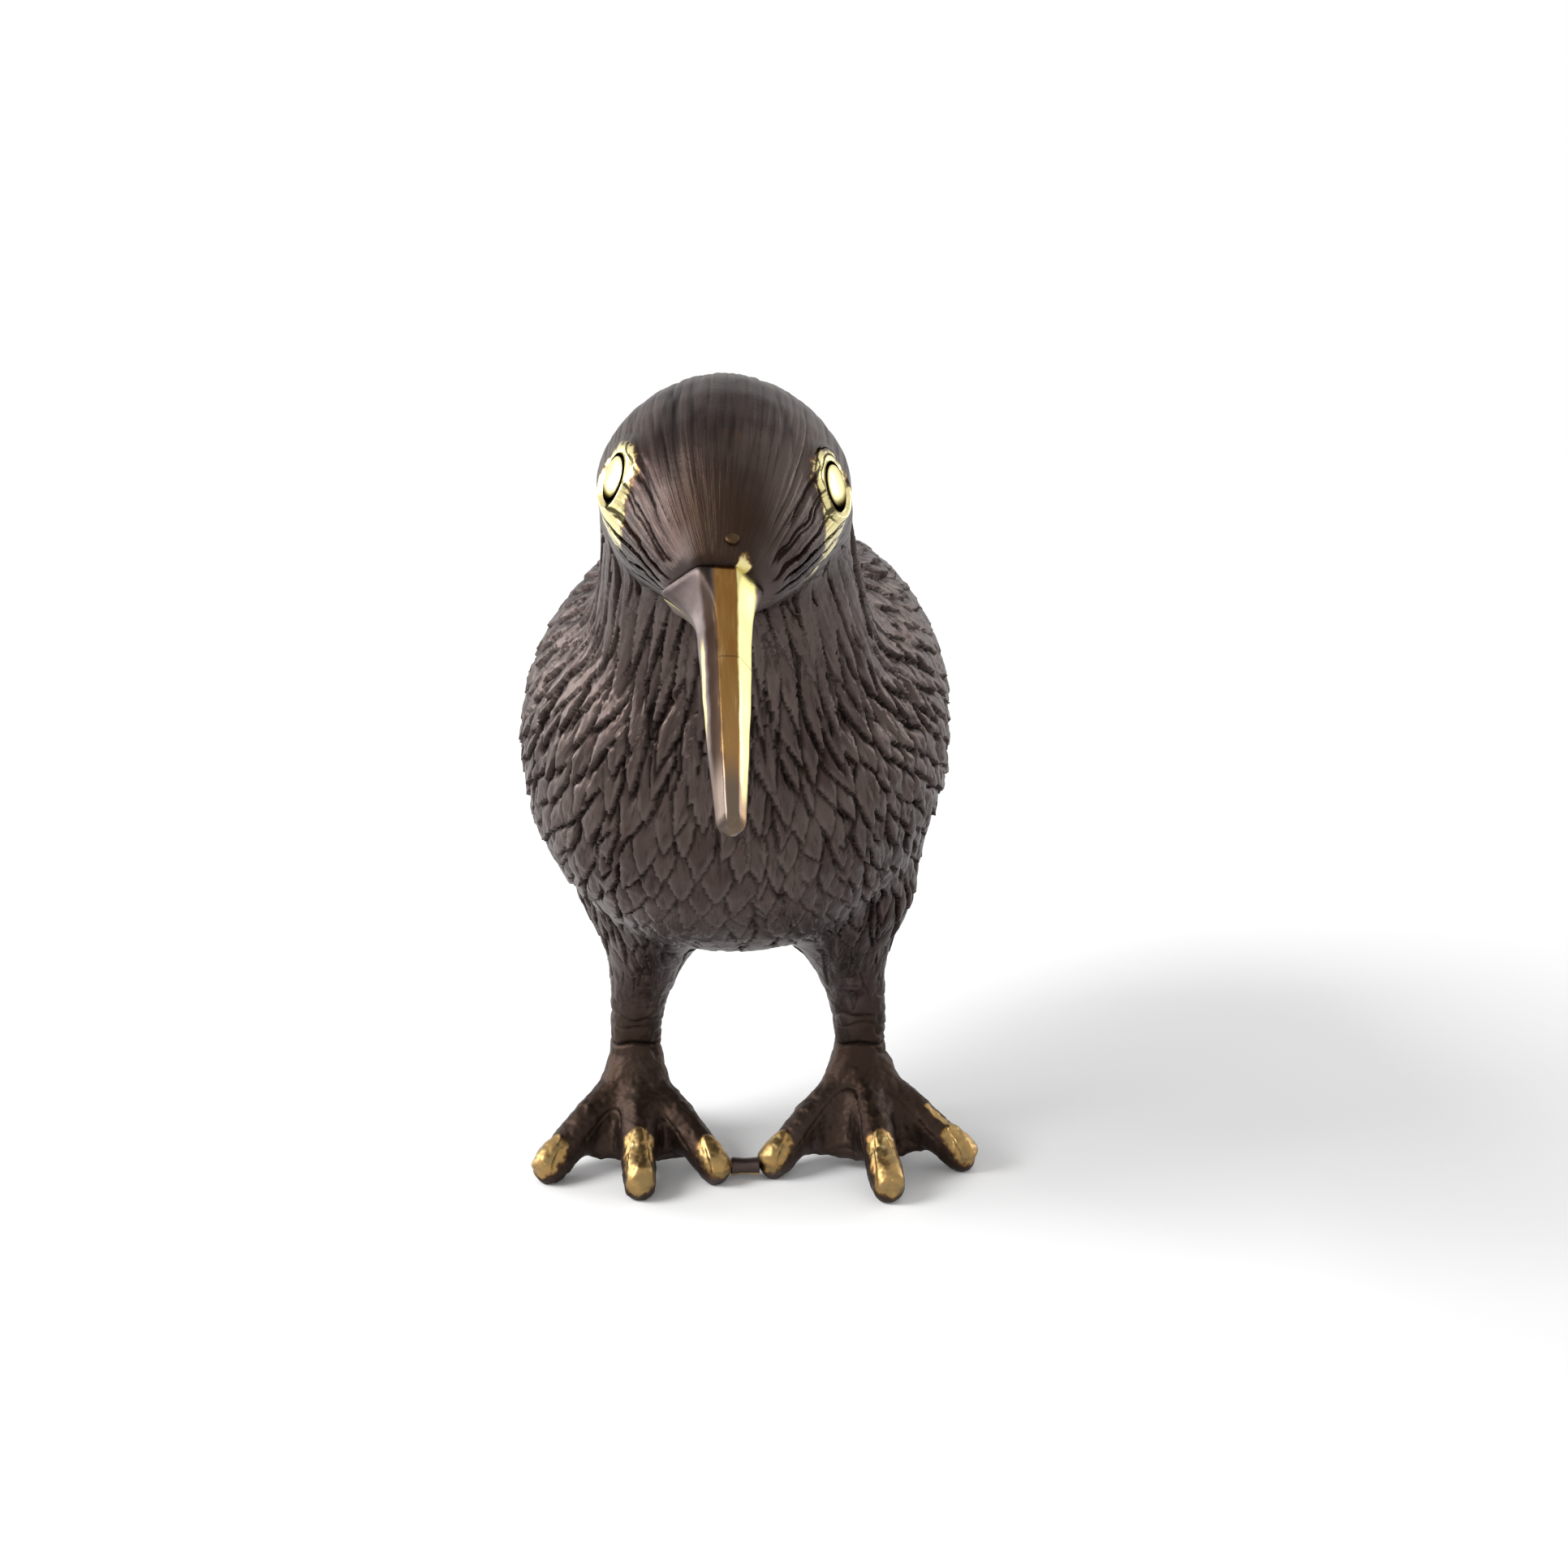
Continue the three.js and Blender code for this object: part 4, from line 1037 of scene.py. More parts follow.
        return {
            "point": back + normal * dots(root - back, normal)[:, None],
            "normal": normal,
            "along": along,
            "turn": turn,
            "width": room_wide * sizes["width"] * (0.9 + 0.28 * chances[3]),
            "length": length,
            "rise": sizes["rise"] * (0.75 + 0.5 * chances[4]),
            "tip": 1.05 + 0.45 * chances[5],
            "bend": 0.5 * (chances[6] + chances[1] - 1.0),
            "nick": 1.1 * chances[7] - 0.55,
            "lean": 0.6 * (chances[8] + chances[2] - 1.0),
            "luck": chances[5],
        }

    def roots(self, form: Thing) -> Table:
        """Sets out all the feathers: the body's rows and both thighs' rings."""
        parts = [self.body_rows(form), self.thigh_rows(form, 1), self.thigh_rows(form, -1)]
        return {name: np.concatenate([part[name] for part in parts]) for name in parts[0]}

    def near_pairs(self, points: Array, roots: Table) -> tuple[Array, Array]:
        """Returns the pairs of feather and point that may touch, as two lists of numbers."""
        reach = 0.62 * roots["length"] + 0.5
        square = dots(points, points)
        plumes, places = [], []
        batch = 64
        for start in range(0, len(reach), batch):
            centres = roots["point"][start : start + batch]
            apart = square + dots(centres, centres)[:, None] - 2.0 * centres @ points.T
            plume, place = np.nonzero(apart < (reach[start : start + batch] ** 2)[:, None])
            plumes.append(plume + start)
            places.append(place)
        return np.concatenate(plumes), np.concatenate(places)

    def lay(self, points: Array, normals: Array, roots: Table) -> Table:
        """Lays the feathers like shingles and finds which one lies on top at each point.

        Args:
            points: The skin's points.
            normals: Their normals.
            roots: The feathers.

        Returns:
            For each point the feather's height, its groove and rim, and the point's place on it.
        """
        i, j = self.near_pairs(points, roots)
        facing = dots(roots["normal"][i], normals[j]) > 0.3
        i, j = i[facing], j[facing]
        here = self.swung(self.flow(points, normals)[j], normals[j], roots["turn"][i])
        along = units(roots["along"][i] + here)
        sides = units(np.cross(roots["normal"][i] + normals[j], along))
        gap = points[j] - roots["point"][i]
        v = 2.0 * dots(gap, along) / roots["length"][i]
        u = 2.0 * dots(gap, sides) / roots["width"][i] + roots["bend"][i] * v * v
        inside = (np.abs(v) < 1.25) & (np.abs(u) < 2.2)
        i, j, u, v = i[inside], j[inside], u[inside], v[inside]
        width, length, tip, rise = (roots[name][i] for name in ("width", "length", "tip", "rise"))
        taper = np.clip((v - self.WIDEST) / (1.0 - self.WIDEST), 0.0, 1.4)
        outline = np.where(v > self.WIDEST, 1.0 - taper**tip, 1.0 - 0.45 * (self.WIDEST - v) ** 2)
        slope = np.where(v > self.WIDEST, tip * taper ** (tip - 1.0), 0.0)
        slant = np.sqrt(1.0 + (slope * width / length) ** 2)
        depth = (outline - np.abs(u)) * width / 2.0 / slant
        depth = np.minimum(depth, (v + 1.05) * length / 2.0)
        height = rise * (0.5 + 0.5 * v + roots["lean"][i] * np.clip(u, -1.2, 1.2))
        height += 0.18 * rise * (1.0 - np.minimum(u * u, 1.5))
        top = np.full(len(points), -math.inf)
        np.maximum.at(top, j, np.where(depth > 0.0, height, -math.inf))
        top[np.isinf(top)] = self.BARE
        winner = np.full(len(points), -1, dtype=np.int64)
        wins = (depth > 0.0) & (height >= top[j])
        winner[j[wins]] = np.nonzero(wins)[0]
        outside = np.full(len(points), 9.0)
        over = (depth <= 0.0) & (height > top[j] + 0.04)
        np.minimum.at(outside, j[over], -depth[over])
        known = winner >= 0
        pick = winner[known]
        wide, luck, nick = width[pick], roots["luck"][i[pick]], roots["nick"][i[pick]]
        within = np.zeros(len(points))
        within[known] = depth[pick]
        place = np.zeros((len(points), 3))
        place[known] = np.stack([u[pick] * wide / 2.0, v[pick] * length[pick] / 2.0, luck], axis=1)
        stroke = np.zeros(len(points))
        beside = np.abs(u[pick] - nick) * wide / 2.0
        stroke[known] = ease(-0.1, 0.5, v[pick]) * bell(beside, 0.28) * (luck > 0.35)
        scale = np.full(len(points), 0.5)
        scale[known] = rise[pick]
        laid = {"height": top, "outside": outside, "within": within}
        return laid | {"place": place, "stroke": stroke, "scale": scale}


@dataclass(frozen=True)
class Chasing:
    """How deep the tools went, in feathers as shares of their rise and elsewhere in millimetres.

    The calms are the shares of it that rubbing and the smoother belly take away.
    """

    seat: float = 0.72
    groove: float = 0.75
    stroke: float = 0.25
    scale_line: float = 0.34
    nail: float = 0.28
    fold: float = 0.16
    eye_seat: float = 0.7
    eye_rim: float = 0.42
    rubbed_calm: float = 0.35
    belly_calm: float = 0.3


@dataclass(frozen=True)
class RubbedSpot:
    """A place where the brown is worn through: a ball, or a bar that runs toward a second point."""

    centre: Vector
    radius: float
    strength: float
    toward: Vector | None = None
    polish: float = 1.0


def eye_place(form: BirdForm, side: int) -> tuple[Vector, Vector]:
    """Finds an eye on the head's surface.

    Args:
        form: The bird's form.
        side: 1 on the bird's left and -1 on its right.

    Returns:
        The middle of the eye, and the direction that it looks in.
    """
    z = form.sizes

    def on_head(t: float, angle: float) -> Vector:
        """Returns a point of the head's ring at t."""
        ring = form.head_station(t)
        return ring.place(math.cos(angle), math.sin(angle))

    angle = z.eye_angle if side > 0 else math.pi - z.eye_angle
    point = on_head(z.eye_station, angle)
    along = on_head(z.eye_station + 0.01, angle) - point
    around = on_head(z.eye_station, angle + 0.01) - point
    outward = along.cross(around).normalized()
    outward = outward if outward.x * side > 0 else -outward
    return point, (outward + ACROSS * (side * z.eye_turn)).normalized()


class BirdSkin:
    """The bird's outer surface with its feathers, cut into the castings at their seams."""

    HEAD_HEIGHT = 100.0
    MARGIN = 2.5

    def __init__(self, sizes: BirdSizes) -> None:
        """Keeps the sizes and prepares the form and the plumage."""
        self.sizes = sizes
        self.chasing = Chasing()
        self.form = BirdForm(sizes)
        self.plumage = Plumage(sizes)

    def scutes(self, points: Array) -> Array:
        """Cuts the scales' cross lines round the shanks and over the toes, and the ankles' rings.

        Args:
            points: The skin's points.

        Returns:
            How deep each point lies in a line, from 0 to 1.
        """
        z = self.sizes
        height = points[:, 2]
        rings = np.zeros(len(points))
        for side in (1, -1):
            ankle = self.form.ankle(side)
            x, y = points[:, 0] - ankle.x, points[:, 1] - ankle.y
            away, turn = np.hypot(x, y), np.arctan2(y, x)
            level = height + 0.45 * np.sin(turn * 2.0 + side) + 0.7 * away * (height < 15.0)
            wander = np.stack([np.cos(turn) * 1.8, np.sin(turn) * 1.8, level], axis=1)
            crack = 0.55 * bell(grid_noise(wander, 1.9, 31), 0.13) * ease(21.0, 5.0, away)
            ring = bell(height - z.ankle_height - 0.35 * np.sin(turn * 3.0), 0.34) * (away < 6.0)
            mine = (points[:, 0] - z.stance_middle) * side > 0
            rings = np.where(mine, np.maximum(crack, ring), rings)
        return rings * ease(25.0, 20.0, height)

    def rough_skin(self, points: Array) -> Array:
        """Returns the unevenness of the bare skin on shanks and toes, in millimetres."""
        long = points * np.array([1.0, 1.0, 0.45])
        coarse = 0.12 * grid_noise(points, 1.9, 5) + 0.10 * grid_noise(long, 0.8, 6)
        return coarse + 0.05 * grid_noise(points, 0.45, 7)

    def nails(self, points: Array) -> Array:
        """Returns 1 on the nail plates along the toes' upper ends, with a crisp edge."""
        z = self.sizes
        plate = np.zeros(len(points))
        shares = np.linspace(0, 1, 9)
        for side, toes in z.feet:
            gap = points - np.array(self.form.ankle(side))
            for number, toe in enumerate(toes):
                start = 0.60 if number == 1 else 0.76
                t = gap @ np.array(toe.heading) / toe.length
                aside = np.abs(gap @ np.array(toe.across))
                heights = [self.form.toe_point(side, toe, share, z.toe_root_height).z for share in shares]
                centre = np.interp(t, shares, heights)
                wide = 1.65 * np.sqrt(np.clip((t - start) / (0.97 - start), 0.0, 1.0)) + 0.25
                inside = ease(0.0, 0.35, wide - aside) * ease(start - 0.01, start + 0.02, t)
                plate = np.maximum(plate, inside * ease(0.2, 0.8, points[:, 2] - centre) * (t < 1.1))
        return plate

    def rubbed(self, points: Array) -> tuple[Array, Array]:
        """Returns how far the brown is rubbed through to the brass, and how brightly that is polished.

        Args:
            points: The skin's points.

        Returns:
            Two shares for each point; about a half of the first is the edge of the rubbed spot.
        """
        share, polish = np.zeros(len(points)), np.zeros(len(points))
        for spot in self.spots():
            gap = points - np.array(spot.centre)
            if spot.toward is not None:
                way = np.array(spot.toward) - np.array(spot.centre)
                t = np.clip(gap @ way / (way @ way), 0.0, 1.0)
                gap = gap - t[:, None] * way
            away = lengths(gap) / spot.radius
            mine = spot.strength * ease(1.6, 0.2, away)
            polish = np.where(mine > share, spot.polish, polish)
            share = np.maximum(share, mine)
        return share, polish

    def spots(self) -> list[RubbedSpot]:
        """Lists the places that hands and polish have worn bright; one of them is also a painted highlight
        line along a toe's ridge.
        """
        z = self.sizes
        spots = []

        def on_toe(side: int, toe: Toe, t: float, rise: float) -> Vector:
            """Returns a point above a toe's centre line."""
            return self.form.toe_point(side, toe, t, z.toe_root_height) + UP * rise

        for side, toes in z.feet:
            for number, toe in enumerate(toes):
                back = on_toe(side, toe, 0.70 if number == 1 else 0.84, 2.6)
                spots.append(RubbedSpot(on_toe(side, toe, 0.93, 1.2), 2.5, 0.88, back, polish=0.18))
            eye, _ = eye_place(self.form, side)
            low = eye.lerp(z.muzzle_centre, 0.34) + Vector((0.0, 0.0, -3.2))
            fleck = eye + Vector((-2.2 * side, -2.6, -8.4))
            spots += [
                RubbedSpot(eye + Vector((0.0, -0.6, 0.6)), 4.6, 1.0, eye + Vector((0.0, -0.6, -4.2))),
                RubbedSpot(low, 2.1, 0.72, eye + Vector((0.0, -2.0, -4.0))),
                RubbedSpot(fleck, 1.7, 0.6, eye + Vector((-5.0 * side, -4.6, -10.4))),
            ]
        # Rubbed brass along the top ridge of the left foot's outer toe, also painted there as that ridge's
        # highlight line.
        outer = z.left_toes[2]
        ridge = on_toe(1, outer, 0.92, 2.8), on_toe(1, outer, 0.6, 3.2)
        spots.append(RubbedSpot(ridge[0], 1.0, 0.62, ridge[1], polish=0.2))
        seam_top = z.muzzle_centre + Vector((2.35, -0.9, 3.2))
        spots.append(RubbedSpot(seam_top, 1.25, 1.1, seam_top + Vector((0.0, 0.2, 0.5))))
        return spots

    def sink_eyes(self, surface: Surface) -> None:
        """Levels the skin round each eye and sinks it under the eye's own brass."""
        for side in (1, -1):
            eye, outward = eye_place(self.form, side)
            gap, out, away = surface.round_axis(eye, outward)
            near = np.abs(out) < 6.0
            level = np.where(away < self.sizes.eye_radius - 0.1, -self.chasing.eye_seat, 0.0)
            lid = self.chasing.eye_rim * bell(away - 3.75, 0.42) * ease(0.5, -2.0, gap[:, 2] - 1.5)
            share = ease(6.0, 3.2, away) * near
            surface.points += np.array(outward) * (share * (level - out) + near * lid * (away < 6.0))[:, None]

    def cut_relief(self, part: Thing, roots: Table) -> None:
        """Cuts the feathers, lines and scales into a part of the skin and stores what the materials need.

        Args:
            part: A piece of the form, finely divided.
            roots: The feathers.
        """
        tools = self.chasing
        surface = Surface(part.data)
        normals = surface.normals()
        points = surface.points.copy()
        aside, back, height = np.abs(points[:, 0]), points[:, 1], points[:, 2]
        laid = self.plumage.lay(points, normals, roots)
        rise, stroke, place = laid["scale"], laid["stroke"], laid["place"]
        face = self.plumage.face(points)
        plumed = ease(22.0, 34.0, height) * (1.0 - face)
        smooth = (1.0 - plumed) * (1.0 - face)
        depth = 0.85 + 0.45 * grid_noise(points, 4.0, 9) + 0.35 * grid_noise(points, 1.9, 12)
        depth = np.clip(depth, 0.2, 1.6)
        groove = bell(laid["outside"], 0.24 + 0.34 * depth)
        # Painted highlight: a lighter band just inside each feather's edge, towards its tip.
        rim = bell(laid["within"] - 0.35, 0.3) * ease(0.0, 0.6, place[:, 1])
        cut = laid["height"] - tools.seat * rise - tools.groove * rise * depth * groove
        cut -= tools.stroke * rise * stroke
        cut += (0.16 * grid_noise(points, 1.6, 3) + 0.10 * grid_noise(points, 0.8, 4)) * rise
        hair, dark_hair, strand = self.plumage.hair(points)
        brow, cheek = self.plumage.near_bill(points)
        bare = 1.0 - np.clip(1.1 * cheek + 0.5 * brow, 0.0, 1.0)
        hair, dark_hair = hair * bare, dark_hair * bare
        scutes = self.scutes(points)
        # The belly's underside: its relief is calmed, and it takes a painted reflection of the floor through
        # the cheek mark.
        under = ease(37.0, 31.5, height) * ease(0.1, -0.4, normals[:, 2]) * ease(16.0, 11.0, aside)
        middle = np.maximum(ease(17.0, 9.0, aside) * ease(72.0, 60.0, height) * (back < 0.0), under)
        folds = self.plumage.folds(points) * face
        spots, polish = self.rubbed(points)
        calm = 1.0 - tools.rubbed_calm * ease(0.45, 0.8, spots)
        cut *= 1.0 - tools.belly_calm * middle
        cut = cut * plumed - face * hair * calm
        cut += smooth * (self.rough_skin(points) - tools.scale_line * scutes)
        cut += tools.nail * self.nails(points) * smooth - tools.fold * folds
        surface.points += normals * cut[:, None]
        if height.max() > self.HEAD_HEIGHT:
            self.sink_eyes(surface)
        surface.points[:, 2] = np.maximum(surface.points[:, 2], 0.0)
        surface.write()
        calm_neck = ease(66.0, 78.0, height) * ease(30.0, 18.0, back)
        dark = np.clip(groove + 0.5 * stroke, 0.0, 1.0) * plumed
        dark *= (1.0 - 0.35 * middle) * (1.0 - 0.3 * calm_neck)
        dark += face * np.maximum(0.8 * dark_hair * calm, 1.5 * folds) + smooth * 0.8 * scutes
        foot = 0.85 * smooth * ease(24.0, 16.0, height)
        marks = {
            "groove": np.clip(dark, 0.0, 1.0),
            # rim: where the painted highlight along the feathers' tips lies.
            "rim": rim * plumed,
            "plume": place * plumed[:, None],
            "strand": np.where(face[:, None] > 0.5, strand, place * np.array([1.0, 0.16, 40.0])),
            "rubbed": spots,
            "polish": polish,
            "stroke": face * bare * ease(103.0, 97.0, height) * ease(2.0, 7.0, aside),
            "brow": np.maximum(brow * face, foot),
            # cheek: painted sheen on the smooth cheeks, and a painted reflection of the floor on the belly's
            # underside.
            "cheek": np.maximum(cheek * face, 1.2 * under),
        }
        for name, values in marks.items():
            surface.store(name, values)

    def part(self, form: Thing, name: str, keep: Callable[[Vector], bool], levels: int) -> Thing:
        """Takes the faces near a casting from the form and divides them finely.

        Args:
            form: The run-together form.
            name: The new object's name.
            keep: True for a point that the casting needs, with a margin.
            levels: How many times the mesh is divided.

        Returns:
            The part, still open at its ends.
        """
        bm = bmesh.new()
        bm.from_mesh(form.data)
        spare = [vert for vert in bm.verts if not keep(vert.co)]
        bmesh.ops.delete(bm, geom=spare, context="VERTS")
        made = to_object(bm, name)
        return with_modifier(made, "SUBSURF", levels=levels, render_levels=levels)

    def trim(self, part: Thing, cuts: Sequence[tuple[Vector, Vector]]) -> None:
        """Cuts a part off at its seams, closes it there and brings it to metres.

        Args:
            part: The part.
            cuts: A point and a direction for each seam; what lies that way is cut off.
        """
        bm = bmesh.new()
        bm.from_mesh(part.data)
        for point, away in cuts:
            cut_off(bm, point, away)
        for face in bm.faces:
            face.smooth = True
        bm.to_mesh(part.data)
        bm.free()
        to_metres(part)

    def build(self) -> dict[str, Thing]:
        """Builds the castings' skins.

        Returns:
            The finished pieces by name.
        """
        z = self.sizes
        form = self.form.build()
        roots = self.plumage.roots(form)
        log.info("plumage: %d feathers", len(roots["luck"]))
        seam, up = z.neck_seam_point, z.neck_seam_normal
        hip, ankle = UP * z.hip_seam, UP * z.ankle_height
        margin = self.MARGIN

        def above_seam(point: Vector) -> float:
            """Returns how far a point lies above the neck's seam."""
            return (point - seam).dot(up)

        pieces = {}
        plans = {
            "head_skin": (lambda p: above_seam(p) > -margin, 2, [(seam, -up)]),
            "body_skin": (
                lambda p: above_seam(p) < margin and p.z > z.hip_seam - margin,
                1,
                [(seam, up), (hip, -UP)],
            ),
        }
        middle = z.stance_middle
        for name, side in (("left", 1), ("right", -1)):
            plans[f"{name}_leg_skin"] = (
                lambda p, side=side: (p.x - middle) * side > 0
                and z.ankle_height - margin < p.z < z.hip_seam + margin,
                2,
                [(ankle, -UP), (hip, UP)],
            )
            plans[f"{name}_foot_skin"] = (
                lambda p, side=side: (p.x - middle) * side > 0 and p.z < z.ankle_height + margin,
                2,
                [(ankle, UP)],
            )
        for name, (keep, levels, cuts) in plans.items():
            made = self.part(form, name, keep, levels)
            self.cut_relief(made, roots)
            self.trim(made, cuts)
            pieces[name] = made
        bpy.data.objects.remove(form)
        return pieces


class Bill:
    """The bill, filed to long flat faces, cast in two halves that meet at the gape."""

    FACES = ((88.0, 0.90), (30.0, 0.93), (-30.0, 0.98), (143.0, 0.74), (200.0, 0.97), (270.0, 0.95))
    SIDES = 120
    RINGS = 110

    def __init__(self, sizes: BirdSizes) -> None:
        """Works out the bill's directions from the sizes."""
        z = sizes
        self.sizes = z
        self.direction, self.lift = pitched(z.bill_angle)
        self.seat, self.seat_lift = pitched(z.muzzle_tilt)
        self.root = z.muzzle_centre + self.seat * z.gap

    def bow(self, t: Array | float) -> Array | float:
        """Returns how far the bill's centre line bends up from a straight one: seam 0, tip 1."""
        return self.sizes.bill_bow * 4.0 * t * (1.0 - t)

    def place(self, t: float) -> Vector:
        """Returns a point on the bill's centre line: seam 0, tip 1."""
        z = self.sizes
        run = self.direction * (z.bill_length * t) + self.lift * self.bow(t)
        return self.root + run + ACROSS * (z.bill_side * t)

    def station(self, t: float, radius: float = 0.0) -> FacetedStation:
        """Returns the bill's ring at a place along it.

        Args:
            t: Seam 0, tip 1.
            radius: Its size where the tip is rounded, or 0 for the bill's own taper.

        Returns:
            The ring, which turns from the seat's tilt to the bill's over the first third.
        """
        z = self.sizes
        lift = pitched(mix(z.muzzle_tilt, z.bill_angle, min(1.0, 3.0 * t)))[1]
        flare = max(0.0, 1.0 - t / z.bill_flare_reach) ** 2
        left = flare * (z.bill_flare_left + flare * z.bill_spread_left)
        right = flare * (z.bill_flare_right + flare * z.bill_spread_right)
        width = mix(z.bill_half_width, z.bill_tip_radius, t**1.5) + (left + right) / 2
        height = mix(z.bill_half_height, z.bill_tip_radius, t**1.5) + flare * z.bill_flare
        centre = self.place(t) + ACROSS * ((left - right) / 2)
        if radius:
            width, height = radius, radius
        return FacetedStation(centre, lift, width, height, height, faces=self.FACES)

    def half(self, name: str, point: Vector, away: Vector) -> Thing:
        """Builds one half of the bill with its half of the tenon.

        Args:
            name: The piece's name.
            point: A point of the plane that parts the halves.
            away: The side of the other half.

        Returns:
            The piece, which stores for each point its place: across, along from 0 to 1, and up.
        """
        z = self.sizes
        round_from = 1.0 - z.bill_tip_radius / z.bill_length
        tenon_end = z.muzzle_centre - self.seat * z.tenon_length
        stations: list[Station] = [
            Station(tenon_end, self.seat_lift, *[z.tenon_radius - 0.3] * 3),
            Station(tenon_end + self.seat * 0.4, self.seat_lift, *[z.tenon_radius] * 3),
            Station(self.root, self.seat_lift, *[z.tenon_radius] * 3),
        ]
        seam = self.station(0.0)
        size = (seam.width - 0.1, seam.above - 0.1, 0.0)
        stations.append(FacetedStation(seam.centre - self.seat * 0.18, seam.lift, *size, faces=self.FACES))
        stations += [self.station(t) for t in np.linspace(0.006, round_from, self.RINGS)]
        for turn in np.linspace(0.15, 1.5, 9):
            radius = z.bill_tip_radius * math.cos(turn) * 1.04
            stations.append(self.station(mix(round_from, 1.0, math.sin(turn)), radius))
        bm = bmesh.new()
        add_tube(bm, stations, self.SIDES)
        cut_off(bm, point, away)
        shade(bm, 0.5)
        made = to_object(bm, name)
        surface = Surface(made.data)
        gap = surface.points - np.array(self.root)
        t = gap @ np.array(self.direction) / z.bill_length
        across = gap[:, 0] - z.bill_side * t
        up = gap @ np.array(self.lift) - self.bow(t)
        surface.push(0.05 * grid_noise(surface.points, 2.6, 41) * (t > 0.02))
        surface.store("bill", np.stack([across, t, up], axis=1))
        return to_metres(made)

    def build(self) -> dict[str, Thing]:
        """Builds both halves, parted by a plane from below the seam's middle to below the tip."""
        z = self.sizes
        start = self.root - self.seat_lift * z.gape_drop
        end = self.root + self.direction * z.bill_length - self.lift * z.gape_tip_drop
        line = (end - start).normalized()
        above = Vector((0.0, line.z, -line.y))
        return {
            "upper_bill_brass": self.half("upper_bill_brass", start, -above),
            "lower_bill_brass": self.half("lower_bill_brass", start - above * z.gap, above),
        }


